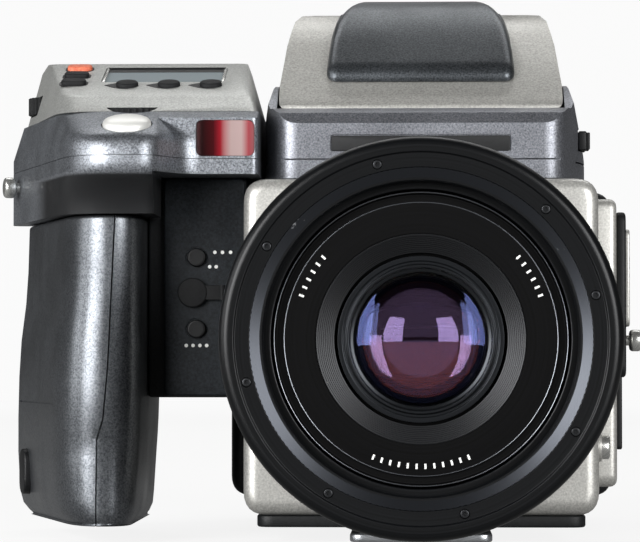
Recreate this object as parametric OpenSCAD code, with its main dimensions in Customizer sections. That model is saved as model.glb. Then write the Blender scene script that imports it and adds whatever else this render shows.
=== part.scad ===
// Medium format digital camera: reflex body, side grip, prism finder, digital back and 80 mm lens.
// Millimetres. X runs to the right seen from the front, Y runs from the lens to the back, Z is up.
// The origin is the mouth of the tripod socket in the foot.

/* [Body] */
// Width of the front shell
body_w = 82; // [76:1:92]
// Height of the front shell
body_h = 77.7; // [76:0.1:84]
// Depth of the front shell
body_d = 53; // [52:0.5:60]
// Distance of the shell's front face ahead of the tripod socket
front_reach = 27; // [26:0.5:30]
// Wall of the shell
body_wall = 3; // [2.5:0.1:3.5]
// Corner radius of the shell seen from the front
body_corner_r = 4; // [2:0.5:8]
// How far the right cheek stands out of the front shell
cheek_w = 5; // [3:0.5:8]
// How far the cheek lies behind the shell's front face
cheek_setback = 15; // [13:0.5:20]
// Share of the shell's height that lies below the lens axis
axis_share = 0.5161; // [0.5:0.001:0.54]

/* [Base] */
// Width of the quick coupling foot
foot_w = 33; // [30:1:60]
// Depth of the foot
foot_d = 62; // [56:1:70]
// Thickness of the foot
foot_h = 3.5; // [3:0.1:6]
// Width of the base plate
plate_w = 76; // [60:1:80]
// Thickness of the base plate
plate_h = 2.8; // [2.4:0.1:5]
// Wall radius of the larger tripod thread
socket_r = 4; // [3.8:0.05:4.3]
// Wall radius of the smaller tripod thread
small_socket_r = 2.55; // [2.4:0.05:2.8]
// Distance between the two tripod threads
socket_pitch = 15; // [13:0.5:18]
// Wall of the boss round the tripod threads
socket_wall = 3; // [2:0.1:3.5]
// Head radius of a foot screw
foot_screw_r = 2.4; // [2:0.1:3]

/* [Lens] */
// Length of the lens ahead of its flange
lens_len = 70; // [66:0.5:80]
// Outer radius of the front ring
front_r = 42.15; // [41.5:0.05:44]
// Length of the front ring
front_len = 22; // [20:0.5:26]
// Wall radius of the filter thread
filter_r = 33.1; // [32.5:0.05:34]
// Length of the filter thread
filter_len = 4.6; // [3:0.1:5.5]
// Share of the front ring's face taken by the chamfered band round the thread
band_share = 0.287; // [0.2:0.01:0.32]
// Place of the screws between the filter thread and the rim
ring_screw_share = 0.464; // [0.44:0.01:0.5]
// Head radius of a front ring screw
ring_screw_r = 0.95; // [0.6:0.05:1.1]
// Radius of the barrel behind the focus ring
barrel_r = 36; // [35.5:0.1:38]
// Length of the barrel behind the focus ring
barrel_len = 17.7; // [14:0.1:20]
// Outer radius of the focus ring
focus_r = 39.3; // [38.6:0.1:41]
// Number of ribs round the focus ring
focus_ribs = 72; // [48:4:96]
// Wall of the lens cell
cell_wall = 1.6; // [1.2:0.1:2]
// Outer radius of the ridged cone
cone_r = 22; // [21:0.1:24]
// Inner radius of the ridged cone
cone_in_r = 18.3; // [18:0.1:19.5]
// Ridges on the cone
cone_ridges = 6; // [4:1:8]
// Radius of the front glass
glass_r = 15.4; // [14.8:0.1:16]
// Curvature radius of the front glass
glass_curve_r = 52; // [40:1:80]
// Travel of the lens cell at the closest focus
focus_travel = 5; // [3:0.1:5.5]
// Radius of the full aperture
iris_r = 13.6; // [12:0.1:14.2]
// Thickness of an aperture blade
blade_t = 0.4; // [0.3:0.05:0.5]

/* [Reflex] */
// Length of the mirror from its pivot to its free edge
mirror_l = 41.5; // [38:0.5:42]
// Thickness of the mirror
mirror_t = 1.6; // [1.2:0.1:2]
// Height of the mirror pivot above the lens axis
mirror_rise = 21.6; // [21:0.1:23]
// Width of the picture opening
gate_w = 52; // [48:1:56]
// Height of the picture opening
gate_h = 36; // [33:0.5:37]
// Thickness of the focusing screen
screen_t = 2; // [1.5:0.1:2.5]

/* [Grip] */
// Width of the web between the body and the grip
web_w = 23.2; // [21:0.1:26]
// Width of the grained panel on the web
panel_w = 19.1; // [17:0.1:20.5]
// Height of the web's lower edge above the ground
web_bottom = 33.3; // [28:0.1:40]
// How far the web's front lies behind the shell's front face
web_setback = 15; // [13:0.5:18]
// Thickness of the grained panel on the web
panel_t = 2; // [1.5:0.1:3]
// Width of the battery grip
grip_w = 36.8; // [35:0.1:40]
// Width of the grip's front
grip_nose_w = 17.7; // [16:0.1:20]
// Depth of the battery grip
grip_d = 63.5; // [58:0.5:70]
// Height of the battery grip's bottom above the ground
grip_clear = 4; // [3:0.1:8]
// Front of the grip ahead of the tripod socket
grip_reach = 33.5; // [30:0.5:36]
// Width of the rail that the battery slides on
rail_w = 14; // [10:0.5:16]
// Depth of the rail
rail_d = 26; // [18:0.5:30]
// Length of the rail
rail_l = 36; // [30:0.5:44]

/* [Collar] */
// How far the collar overhangs the grip at its left side and back
collar_lip = 1.5; // [0.8:0.1:2.5]
// How far the collar's nose stands ahead of the grip
collar_nose = 8.5; // [7:0.1:9.5]
// Width of the collar's nose
collar_nose_w = 17.7; // [16:0.1:20]
// Height of the collar's seam above the front shell
collar_rise = 4.6; // [4:0.1:6]
// Height of the lower collar over the grip
collar_low_h = 13; // [12:0.1:15]
// Height of the upper collar
collar_up_h = 11.3; // [11:0.1:13]
// Setback of the collar's front beside the lens
collar_setback = 14; // [12.5:0.5:15]
// Depth of the sloped shoulder that carries the shutter button
shoulder_d = 19.5; // [18.5:0.1:21]
// Height of that sloped shoulder
shoulder_h = 6.2; // [5.5:0.1:7]
// Radius of the shutter button
shutter_r = 5.6; // [5:0.1:5.8]
// Width of the red window
af_w = 13.4; // [10:0.1:14]
// Height of the red window
af_h = 8.2; // [5:0.1:8.4]
// Radius of the front wheel
front_wheel_r = 7.5; // [6:0.1:8]
// Thickness of the front wheel
front_wheel_t = 3.2; // [2.6:0.1:3.4]

/* [Top plate] */
// Depth of the bright front bevel
bevel_d = 7; // [5:0.1:9]
// Height of the bright front bevel
bevel_h = 4.3; // [4:0.1:5]
// Depth of the sloped panel
slope_d = 30; // [29:0.5:33]
// Rise of the sloped panel
slope_h = 10.4; // [9:0.1:12]
// Width of the display window
lcd_w = 29.7; // [24:0.1:32]
// Depth of the display window
lcd_d = 14.8; // [10:0.1:15.5]
// Radius of a row button
row_button_r = 2.65; // [2.2:0.05:2.8]
// Pitch of the row buttons
row_pitch = 10; // [8:0.1:10.5]
// Width of a side button
side_button_w = 6; // [5:0.1:7]
// Depth of a side button
side_button_d = 3.8; // [3:0.1:4.2]
// Radius of the rear wheel
rear_wheel_r = 8.5; // [7:0.1:9]
// Thickness of the rear wheel
rear_wheel_t = 4.2; // [3:0.1:4.5]

/* [Finder] */
// Width of the finder housing
finder_w = 74; // [72:1:80]
// Width of the finder housing's front face
finder_face_w = 64.8; // [60:0.2:68]
// Height of the finder housing's middle
finder_h = 16.8; // [16:0.1:20]
// Height of the housing's shoulders above its middle
finder_shoulder = 6.6; // [4:0.1:8]
// Length of the finder housing
finder_l = 116; // [112:1:122]
// Width of the hood at its foot
hood_w = 67; // [64:0.5:68]
// Width of the hood at its top
hood_top_w = 53.6; // [50:0.2:58]
// Height of the hood
hood_h = 27.5; // [26:0.1:30]
// Wall of the hood
hood_wall = 2.4; // [2:0.1:3]
// Width of the flash cover at its lip
cover_w = 44.8; // [42:0.2:48]
// Width of the flash cover at its top
cover_top_w = 29; // [26:0.5:34]
// Thickness of the flash cover
cover_t = 3; // [2.5:0.1:3.5]
// Width of the eyecup
eyecup_w = 38; // [32:0.5:44]
// Height of the eyecup
eyecup_h = 23; // [20:0.5:25]
// Length of the eyecup
eyecup_l = 15; // [10:0.5:20]

/* [Digital back] */
// Width of the digital back
back_w = 94; // [90:1:98]
// Depth of the digital back
back_d = 65.7; // [60:0.1:70]
// Height of the back's bottom above the ground
back_clear = 8.6; // [7.5:0.1:11]
// Wall of the digital back
back_wall = 3.5; // [3:0.1:4]
// Width of the rear display
display_w = 64; // [56:1:70]
// Height of the rear display
display_h = 46; // [40:1:48]
// Radius of a back button
back_button_r = 3.6; // [3:0.1:4.5]
// Radius of the back rocker
rocker_r = 5; // [4:0.1:5.5]
// Width of the card door
door_w = 31; // [26:0.5:34]
// Height of the card door
door_h = 36; // [28:0.5:40]
// Thickness of the card door
door_t = 1.8; // [1.4:0.1:2.2]

/* [Side fittings] */
// Radius of the lens release button
release_r = 2.8; // [2.2:0.1:3.2]
// Height of the dark side cover
side_cover_h = 39; // [30:0.5:41]
// Thickness of the dark side cover
side_cover_t = 2.3; // [1.8:0.1:3]
// Radius of a strap lug's knob
lug_r = 2.55; // [2:0.05:3]
// Radius of the two buttons on the grained panel
panel_button_r = 2.15; // [1.8:0.05:2.5]
// Radius of the rubber cap between them
cap_r = 3.5; // [3:0.1:4]

/* [Travel and fits] */
// Travel of the small buttons
press = 0.8; // [0.5:0.1:1]
// Travel of the shutter button
shutter_press = 1.2; // [0.8:0.1:1.5]
// Travel of the lens release button
release_press = 1.2; // [0.8:0.1:1.5]
// How far a small button stands out at rest
button_proud = 1.1; // [1.1:0.1:1.6]
// Gap between pieces that pass each other
run_gap = 0.3; // [0.25:0.05:0.4]
// Radial clearance of a shaft or a sliding tube
fit = 0.08; // [0.05:0.01:0.1]
// Clearance of pieces that are seated in a pocket
seat = 0.05; // [0.02:0.01:0.1]

/* [Hidden] */
$fn = 64;
eps = 0.01;
base_top = foot_h + plate_h;
body_top = base_top + body_h;
body_front = -front_reach;
body_back = body_front + body_d;
body_side = body_w / 2;
cheek_side = body_side + cheek_w;
axis_z = base_top + axis_share * body_h;
foot_front = body_front + 3;

// Lens stations along Y and radii
mount_proud = 1;
flange_y = body_front - mount_proud;
lens_front = flange_y - lens_len;
mount_r = 35;
throat_r = 27.5;
mount_depth = mount_proud + body_wall;
ring_face_w = front_r - filter_r;
band_w = band_share * ring_face_w;
ring_screw_pcd_r = filter_r + ring_screw_share * ring_face_w;
ring_screw_l = 2.5;
cell_r = filter_r - 2.1;
barrel_front = flange_y - barrel_len;
front_back_y = lens_front + front_len;
sleeve_wall = 4;
bore_r = cell_r + fit;
sleeve_r = bore_r + sleeve_wall;
recess = 0.6;
thread_y = lens_front + recess + 0.9;
front_in_r = bore_r + 0.3;
spigot_in_r = throat_r - 3;
spigot_y = flange_y + mount_depth - 0.5;
ring_screw_a = [14, 46, 104, 149, 194, 239, 284, 329];
name_cover = 1.8;
name_y = lens_front + focus_travel + name_cover;
name_flange = 1.2;
cell_front = name_y + name_flange;
cell_back = flange_y - 6;
cell_in_r = cell_r - cell_wall;
cone_l = 4.9;
lip_y = name_y + cone_l + 0.3;
lip_t = 1.2;
lip_out_r = cone_in_r - 0.7;
lip_in_r = glass_r - 1.2;
cone_steps = [
    for (i = [0 : cone_ridges - 1], k = [0, 1])
        [cone_r - (i + k) * (cone_r - cone_in_r) / cone_ridges, name_y + (i + 1) * cone_l / cone_ridges]
];
glass_y = lip_y + lip_t + seat - glass_curve_r + sqrt(glass_curve_r * glass_curve_r - lip_in_r * lip_in_r);
glass_sag = glass_curve_r - sqrt(glass_curve_r * glass_curve_r - glass_r * glass_r);
glass_back = glass_y + glass_sag + 4.2;
iris_y = lens_front + 32;
iris_plate_t = 2;
blades = 5;
blade_pin_r = 0.8;
blade_pivot_r = cell_in_r - 3.2;
blade_out_r = blade_pivot_r - 2.4;
blade_arm_r = 2;
blade_arm_l = 3;
blade_step = blade_t + 0.35;
rear_glass_r = 12;
rear_glass_t = 4;

// Mirror box
box_side = body_side - body_wall - seat;
box_in = box_side - 4.9;
box_front = body_front + body_wall + seat;
mirror_side = 3.05;
mirror_w = 2 * (box_in - mirror_side);
box_front_wall = 2;
box_back_wall = 3;
box_floor = base_top + body_wall + seat;
mirror_z = axis_z + mirror_rise;
mirror_y = body_back - 5;
mirror_pin_r = 1.2;
pin_reach = 2.5;
screen_z = mirror_z + mirror_t + 2.6;
flap_y = body_back - box_back_wall - 1.3;
flap_t = 0.8;
flap_pin_r = 0.9;
flap_lap = 0.4;
gate_margin = 1;
well_w = 54;
well_front = body_front + 8;
well_d = body_d - 16;

// Grip and collar
web_right = -body_side;
web_left = web_right - web_w;
web_front = body_front + web_setback;
panel_y = web_front - panel_t;
grip_right = web_left - run_gap;
grip_left = grip_right - grip_w;
release_root = 2;
grip_front = -grip_reach;
grip_back = grip_front + grip_d;
rail_x = grip_right - 12.5;
rail_y = grip_front + 36.5;
collar_seam = body_top + collar_rise;
collar_bot = collar_seam - collar_low_h;
grip_top = collar_bot - run_gap;
grip_h = grip_top - grip_clear;
collar_top = collar_seam + collar_up_h;
web_cap = 3.6;
web_top = collar_seam - web_cap;
collar_left = grip_left - collar_lip;
collar_front = grip_front - collar_nose;
collar_back = grip_back + collar_lip;
collar_right = -finder_w / 2 - 2 * run_gap;
nose_right = grip_right + 3.5;
nose_left = nose_right - collar_nose_w;
under_top = [collar_front, web_top];
under_bot = [grip_front - 1, collar_bot];
shoulder_a = atan(shoulder_h / shoulder_d);
shoulder_z = collar_top - shoulder_h;
shutter_x = nose_right - 6.3;
shutter_s = 0.42 * norm([shoulder_d, shoulder_h]);
shutter_root = 2.2;
shutter_well = shutter_root + shutter_press + 2 * run_gap;
wheel_front_y = collar_front + shoulder_d + front_wheel_r - 0.9;
wheel_front_z = collar_top - 2.4;
axle_r = 1.5;
af_x = collar_right - 0.8 - af_w;
af_z = collar_seam + 0.6;
af_t = 1.8;
af_front = collar_front + collar_setback;

// Outlines seen from above: X, Y and the reach of the rounding at each corner
grip_plan = [
    [grip_right, grip_back, 7], [grip_right, grip_front, 9], [grip_right - grip_nose_w, grip_front, 14],
    [grip_left, grip_back, 6]
];
collar_plan = [
    [collar_right, collar_back, 2], [collar_right, af_front, 0.5], [nose_right + 6.4, af_front, 2.5],
    [nose_right, collar_front, 3], [nose_left, collar_front, 12], [collar_left, collar_back, 5]
];
// How far a figure beside a flank reaches inward, past the whole outline
flank_reach = grip_w + grip_d;
// Inset of the grip's flank and the share of its height
grip_swell = [
    [4, 0], [1.6, 0.034], [0.5, 0.084], [0, 0.22], [0, 0.36], [0.2, 0.48], [0.7, 0.6], [1.8, 0.73],
    [2.3, 0.84], [2.6, 1.02]
];

// Top plate
plate_front = collar_front + shoulder_d;
plate_back = collar_back - 0.6;
plate_left = collar_left + 3.9;
plate_right = collar_right - 0.6;
bevel_y = plate_front + bevel_d;
bevel_z = collar_top + bevel_h;
slope_a = atan(slope_h / slope_d);
top_y = bevel_y + slope_d;
top_z = bevel_z + slope_h;
row_x = collar_right - 22.3;
row_s = 9.9;
lcd_x = collar_right - 24.1;
lcd_s = row_s + row_button_r + 0.9 + lcd_d / 2;
lcd_t = 1.2;
side_x = collar_right - 45.3;
side_s = [12, 19.2, 26.4];
button_root = 3;
button_pocket = button_root + press + 0.4;
rear_wheel_x = plate_left + rear_wheel_r + 1.7;
rear_wheel_y = plate_back - rear_wheel_r + 1.1;
rear_wheel_z = collar_top + 2.7;
plate_plan = [
    [plate_right, plate_back, 2], [plate_right, plate_front, 6], [nose_left - 5.1, plate_front, 11],
    [plate_left, plate_back, 4]
];

// Finder
finder_bot = body_top + 0.2;
finder_mid = finder_bot + finder_h;
finder_top = finder_mid + finder_shoulder;
finder_front = body_front + 3;
finder_back = finder_front + finder_l;
rear_block = 26;
hood_foot = finder_mid + seat;
hood_front = finder_front + 12;
hood_top = hood_foot + hood_h;
prism_floor = finder_bot + 3.8;
eye_z = finder_bot + 11.8;
eye_r = 7.5;
block_front = finder_back - rear_block;
prism_w = 44;
hood_low = [hood_front + 1, hood_foot + 2];
hood_high = [hood_front + 24, hood_top - 6.5];
hood_brow = [hood_front + 34, hood_top - 1.5];
hood_crown = [hood_front + 46, hood_top];
hood_rake = hood_high - hood_low;
hood_out = [-hood_rake[1], hood_rake[0]] / norm(hood_rake);
hinge_y = hood_front + 58;
hinge_z = hood_top + 1.9;
hinge_pin_r = 0.9;
knuckle_r = 1.5;
knuckle_w = 16;
ear_w = 2.4;
catch_y = finder_front + 17;
catch_z = finder_bot + 9.8;
finder_side = finder_w / 2;
finder_lean = [
    [finder_side + 1, finder_bot - 1], [finder_side + 1, finder_mid - 8.5],
    [finder_side - 2.4, finder_top + 1]
];
finder_plan = [
    [finder_side, finder_back, 2], [finder_side, finder_front + 14, 5],
    [finder_face_w / 2, finder_front, 3], [-finder_face_w / 2, finder_front, 3],
    [-finder_side, finder_front + 14, 5], [-finder_side, finder_back, 2]
];
// Shares of the lean and of the hood's height along the sides of the hood and of the flash cover
hood_edge = [
    [0, -0.04], [0, 0.22], [0.06, 0.36], [0.18, 0.62], [0.4, 0.88], [0.61, 0.94], [0.94, 0.99],
    [1.2, 1.04]
];
cover_edge = [
    [0, 0], [0, 0.4], [0.04, 0.54], [0.1, 0.69], [0.23, 0.87], [0.4, 0.99], [0.61, 1.06], [1, 1.12]
];

// Digital back
back_front = body_back + run_gap;
back_rear = back_front + back_d;
back_top = finder_bot - 0.5;
back_side = back_w / 2;
back_r = 5;
display_z = axis_z + 6.5;
display_t = 1.2;
rocker_z = display_z - display_h / 2 - rocker_r - 2.6;
back_button_x = display_w / 2 - back_button_r;
sensor_w = gate_w - 4;
sensor_h = gate_h - 1;
door_z = axis_z;
door_back = back_rear - back_wall - 6;
door_axis_x = back_side - door_t / 2;
door_pin_r = 0.5;

// Side fittings
release_y = body_front + 7.5;
release_z = base_top + 15.6;
release_boss = 0.8;
release_boss_t = 0.55;
release_out = 2.7;
side_cover_z = axis_z - 8.4;
lug_z = axis_z + 0.3;
lug_neck = 1.2;
lug_y = body_front + cheek_setback + 6;
left_lug_z = collar_bot + 9;
panel_x = web_right - 11.7;
panel_z = [axis_z + 19.8, axis_z + 3];
cap_x = panel_x - 0.9;
cap_z = axis_z + 11.5;
cap_tab = 7;
cap_t = 1.6;

// Plane figures

module round_rect(w, h, r) {
    square([w - 2 * r, h], center = true);
    square([w, h - 2 * r], center = true);
    for (sx = [-1, 1], sy = [-1, 1])
        translate([sx * (w / 2 - r), sy * (h / 2 - r)])
            circle(r);
}

// Rounded rectangle between two corners
module round_box(x0, x1, y0, y1, r)
    translate([(x0 + x1) / 2, (y0 + y1) / 2])
        round_rect(x1 - x0, y1 - y0, r);

function teeth(n, r_root, r_tip) = [
    for (i = [0 : n - 1], k = [0 : 3])
        let (a = 360 * (i + k / 4) / n, r = k < 2 ? r_tip : r_root)
            [r * cos(a), r * sin(a)]
];

// Outline with rounded corners from a list of X, Y and the reach of each rounding
function flat(p) = [p[0], p[1]];
function toward(p, q, reach) = p + min(reach / norm(q - p), 0.48) * (q - p);
function rounded(p, n = 6) = [
    for (i = [0 : len(p) - 1], k = [0 : n])
        let (
            tip = flat(p[i]),
            start = toward(tip, flat(p[(i + len(p) - 1) % len(p)]), p[i][2]),
            end = toward(tip, flat(p[(i + 1) % len(p)]), p[i][2]),
            t = k / n
        )
            (1 - t) * (1 - t) * start + 2 * t * (1 - t) * tip + t * t * end
];

// Front view of a shell whose sides lean in, from its half width and the points of one side
function leaning(half, lean, edge) = [
    for (side = [1, -1], i = [0 : len(edge) - 1])
        let (p = edge[side > 0 ? i : len(edge) - 1 - i])
            [side * (half - p[0] * lean), hood_foot + p[1] * hood_h]
];

// Placing figures in space

module block(x0, x1, y0, y1, z0, z1)
    translate([x0, y0, z0])
        cube([x1 - x0, y1 - y0, z1 - z0]);

// Figure in X and Z, drawn out along Y
module along_y(y0, y1)
    translate([0, y1, 0])
        rotate([90, 0, 0])
            linear_extrude(y1 - y0)
                children();

// Figure in Y and Z, drawn out along X
module along_x(x0, x1)
    translate([x0, 0, 0])
        rotate([90, 0, 90])
            linear_extrude(x1 - x0)
                children();

module along_z(z0, z1)
    translate([0, 0, z0])
        linear_extrude(z1 - z0)
            children();

module rod_x(x0, x1, y, z, r)
    translate([x0, y, z])
        rotate([0, 90, 0])
            cylinder(h = x1 - x0, r = r);

module rod_y(x, y0, y1, z, r)
    translate([x, y0, z])
        rotate([-90, 0, 0])
            cylinder(h = y1 - y0, r = r);

module rod_z(x, y, z0, z1, r)
    translate([x, y, z0])
        cylinder(h = z1 - z0, r = r);

// Figure of radius and Y, turned about the lens axis
module turned()
    translate([0, 0, axis_z])
        rotate([-90, 0, 0])
            rotate_extrude($fn = 96)
                children();

module lens_rod(y0, y1, r)
    rod_y(0, y0, y1, axis_z, r);

// Place on the circle round the lens axis
module round_lens(a, r)
    translate([r * cos(a), 0, axis_z + r * sin(a)])
        children();

// Place on the sloped panel of the top plate, s along the slope
module on_slope(x, s)
    translate([x, bevel_y, bevel_z])
        rotate([slope_a, 0, 0])
            translate([0, s, 0])
                children();

// Place on the sloped shoulder of the collar
module on_shoulder(x, s)
    translate([x, collar_front, shoulder_z])
        rotate([shoulder_a, 0, 0])
            translate([0, s, 0])
                children();

// Place on the slanting flank between two corners of an outline, X pointing inward and Y backward
module on_flank(p, q, share)
    translate(flat(p) + share * (flat(q) - flat(p)))
        rotate([0, 0, atan((p[0] - q[0]) / (q[1] - p[1]))])
            children();

// Figure of the distance from a flank and Z, drawn out along the flank
module beside_flank(p, q)
    on_flank(p, q, 0.5)
        along_y(-80, 80)
            children();

// Body

module body_outline()
    round_box(-body_side, body_side, base_top, body_top, body_corner_r);

module body_shell()
    color("silver") difference() {
        union() {
            along_y(body_front, body_back)
                body_outline();
            block(body_side - body_wall, cheek_side, body_front + cheek_setback, body_back,
                base_top + 6, body_top - 4);
            rod_x(body_side - eps, body_side + release_boss, release_y, release_z,
                release_r + release_boss_t);
        }
        block(-body_side + body_wall, body_side - body_wall, body_front + body_wall, body_back + 1,
            base_top + body_wall, body_top - body_wall);
        lens_rod(body_front - 1, body_front + body_wall + 1, mount_r + seat);
        block(-well_w / 2, well_w / 2, well_front, well_front + well_d, body_top - body_wall - 1,
            body_top + 1);
        rod_x(body_side - body_wall - 1, body_side + release_boss + 1, release_y, release_z,
            release_r + fit);
    }

module mirror_box()
    color("#1c1d1f") difference() {
        block(-box_side, box_side, box_front, body_back, box_floor, screen_z);
        block(-box_in, box_in, box_front + box_front_wall, body_back - box_back_wall, box_floor + 5,
            screen_z - 2);
        lens_rod(box_front - 1, box_front + box_front_wall + 1, throat_r);
        block(-gate_w / 2, gate_w / 2, body_back - box_back_wall - 1, body_back + 1,
            axis_z - gate_h / 2, axis_z + gate_h / 2);
        block(-well_w / 2, well_w / 2, well_front, well_front + well_d, screen_z - 3, screen_z + 1);
        pivot_bores(mirror_y, mirror_z, mirror_pin_r);
        for (s = [-1, 1])
            pivot_bores(flap_y, flap_pivot_z(s), flap_pin_r);
        rod_x(body_side - body_wall - release_press - 1.5, box_side + 1, release_y, release_z,
            release_r + run_gap);
    }

module pivot_bores(y, z, r)
    rod_x(-box_in - pin_reach - run_gap, box_in + pin_reach + run_gap, y, z, r + fit);

module base_plate()
    color("#303236") difference() {
        along_z(foot_h, base_top)
            round_box(-plate_w / 2, plate_w / 2, body_front + 2, body_back, 4);
        rod_z(0, 0, foot_h - 1, base_top + 1, socket_r + socket_wall + seat);
        rod_z(0, socket_pitch, foot_h - 1, base_top + 1, small_socket_r + socket_wall + seat);
        foot_screw_places()
            rod_z(0, 0, foot_h - 1, base_top + 1, foot_screw_r / 2 + seat);
    }

module tripod_foot()
    color("#8d8f90") difference() {
        union() {
            along_z(0, foot_h)
                round_box(-foot_w / 2, foot_w / 2, foot_front, foot_front + foot_d, 3);
            rod_z(0, 0, 0, base_top - seat, socket_r + socket_wall);
            rod_z(0, socket_pitch, 0, base_top - seat, small_socket_r + socket_wall);
        }
        rod_z(0, 0, -1, base_top + 1, socket_r);
        rod_z(0, socket_pitch, -1, base_top + 1, small_socket_r);
        foot_screw_places() {
            rod_z(0, 0, -1, foot_h / 2, foot_screw_r + seat);
            rod_z(0, 0, 0, foot_h + 1, foot_screw_r / 2 + seat);
        }
    }

module foot_screw_places()
    for (x = [-1, 1], y = [foot_front + 5, body_back - 5])
        translate([x * (foot_w / 2 - foot_screw_r - 1.6), y, 0])
            children();

module foot_screws()
    color("#b0b2b4") foot_screw_places()
        difference() {
            union() {
                rod_z(0, 0, 0.3, foot_h / 2, foot_screw_r);
                rod_z(0, 0, foot_h / 2 - eps, base_top, foot_screw_r / 2);
            }
            translate([0, 0, 0.3])
                cube([2 * foot_screw_r + 1, 0.6, 1.2], center = true);
        }

module lens_mount_ring()
    color("#c8c8c4") difference() {
        lens_rod(flange_y, flange_y + mount_depth, mount_r);
        lens_rod(flange_y - 1, flange_y + mount_depth + 1, throat_r);
    }

module focusing_screen()
    color("#dfe6e6") block(-well_w / 2 - 3, well_w / 2 + 3, well_front - 3, well_front + well_d + 3,
        screen_z, screen_z + screen_t);

// Reflex mirror and the two rear flaps

module pivot_shaft(y, z, r)
    rod_x(-box_in - pin_reach, box_in + pin_reach, y, z, r);

module reflex_mirror()
    color("#aab4bb") union() {
        pivot_shaft(mirror_y, mirror_z, mirror_pin_r);
        translate([-mirror_w / 2, mirror_y, mirror_z])
            rotate([45, 0, 0])
                translate([0, -mirror_l, -mirror_t / 2])
                    cube([mirror_w, mirror_l, mirror_t]);
    }

// Pivot heights of the flaps: 1 is the upper one, -1 the lower one
function flap_pivot_z(s) = axis_z + s * (gate_h / 2 + gate_margin);

module rear_flap(s)
    color("#232427") union() {
        pivot_shaft(flap_y, flap_pivot_z(s), flap_pin_r);
        block(-gate_w / 2 - gate_margin, gate_w / 2 + gate_margin, flap_y - flap_t / 2, flap_y + flap_t / 2,
            s > 0 ? axis_z + flap_lap : flap_pivot_z(s), s > 0 ? flap_pivot_z(s) : axis_z - flap_lap);
    }

module rear_flap_upper() rear_flap(1);
module rear_flap_lower() rear_flap(-1);

// Right side

module side_cover()
    color("#2b2e31") union() {
        along_x(cheek_side, cheek_side + side_cover_t)
            round_box(body_front + cheek_setback + 2, body_back - 6, side_cover_z,
                side_cover_z + side_cover_h, 3);
        block(cheek_side, cheek_side + side_cover_t - 0.9, body_front + cheek_setback + 4, body_back - 8,
            side_cover_z - 17, side_cover_z + 3);
        along_x(cheek_side + side_cover_t - eps, cheek_side + side_cover_t + 1)
            round_box(body_front + cheek_setback + 4, body_back - 9, side_cover_z + 12,
                side_cover_z + side_cover_h - 4, 2);
    }

// Knob on a short neck, pointing to +X for side 1 and to -X for side -1
module strap_lug(x, y, z, side)
    translate([x, y, z])
        rotate([0, 90 * side, 0])
            rotate_extrude()
                polygon([[0, 0], [lug_neck, 0], [lug_neck, 0.9], [lug_r - 0.6, 0.9], [lug_r, 1.5],
                    [lug_r, 2.9], [lug_r - 1, 3.8], [0, 3.8]]);

module strap_lugs()
    color("#9fa1a2") union() {
        strap_lug(cheek_side + side_cover_t, lug_y, lug_z, 1);
        on_flank(collar_plan[4], collar_plan[5], 0.85)
            strap_lug(0, 0, left_lug_z, -1);
    }

module release_button()
    color("#c9c8c4") rod_x(body_side - body_wall, body_side + release_out, release_y, release_z, release_r);

// Web and panel

module grip_web()
    color("#26282b") difference() {
        block(web_left, web_right, web_front, body_back, web_bottom, web_top);
        panel_places()
            rod_y(0, web_front - 1, web_front + 3, 0, panel_button_r + run_gap);
    }

module panel_places()
    for (z = panel_z)
        translate([panel_x, 0, z])
            children();

module grip_panel()
    color("#2f3237") difference() {
        along_y(panel_y, web_front)
            round_box(web_right - 0.3 - panel_w, web_right - 0.3, web_bottom + 0.4, web_top - 0.2, 1.5);
        panel_places()
            rod_y(0, panel_y - 1, web_front + 1, 0, panel_button_r + fit);
        rod_y(cap_x, panel_y - 1, web_front - 0.5, cap_z, cap_r - 0.6);
    }

module panel_button(i)
    color("#17181a") rod_y(panel_x, panel_y - button_proud, web_front + 3 - press - 0.5, panel_z[i],
        panel_button_r);

module mirror_up_button() panel_button(0);
module stop_down_button() panel_button(1);

// Rubber cap with a tab that bends at its end
module remote_cap()
    color("#1a1b1d") union() {
        rod_y(cap_x, panel_y - cap_t, panel_y - run_gap, cap_z, cap_r);
        block(cap_x, cap_x + cap_tab, panel_y - cap_t, panel_y - run_gap, cap_z - cap_r / 2,
            cap_z + cap_r / 2);
        rod_z(cap_x + cap_tab, panel_y - (cap_t + run_gap) / 2, cap_z - cap_r / 2, cap_z + cap_r / 2,
            (cap_t - run_gap) / 2);
        rod_y(cap_x, panel_y - run_gap - eps, web_front - 0.8, cap_z, cap_r - 1.6);
    }

// Grip and collar

module rail_outline(gap)
    translate([rail_x, rail_y])
        square([rail_w + 2 * gap, rail_d + 2 * gap], center = true);

// Oval key or pocket in the grip's flank, from x over a length
module release_oval(x, length, gap)
    on_flank(grip_plan[2], grip_plan[3], 0.74)
        translate([x, 0, grip_clear + 11])
            rotate([90, 0, 90])
                linear_extrude(length)
                    round_rect(8 + 2 * gap, 11 + 2 * gap, 3.9 + gap);

module battery_grip()
    color("#33363a") difference() {
        intersection() {
            along_z(grip_clear, grip_top)
                polygon(rounded(grip_plan));
            beside_flank(grip_plan[2], grip_plan[3])
                polygon(concat([[flank_reach, grip_top + 2], [flank_reach, grip_clear - 1],
                    [6, grip_clear - 1]], [for (p = grip_swell) [p[0], grip_clear + p[1] * grip_h]]));
            along_y(grip_front - 1, grip_back + 1)
                polygon([[grip_left - 1, grip_top + 1], [grip_right + 1, grip_top + 1],
                    [grip_right + 1, web_bottom + 16], [grip_right - 1.6, grip_clear + 3],
                    [grip_right - 4, grip_clear - 0.5], [grip_left - 1, grip_clear - 0.5]]);
        }
        along_z(collar_bot - rail_l - 1, grip_top + 1)
            rail_outline(run_gap);
        release_oval(-1, 1 + release_root + press + run_gap, fit);
    }

module battery_release()
    color("#1d1e20") release_oval(-button_proud, button_proud + release_root, 0);

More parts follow.
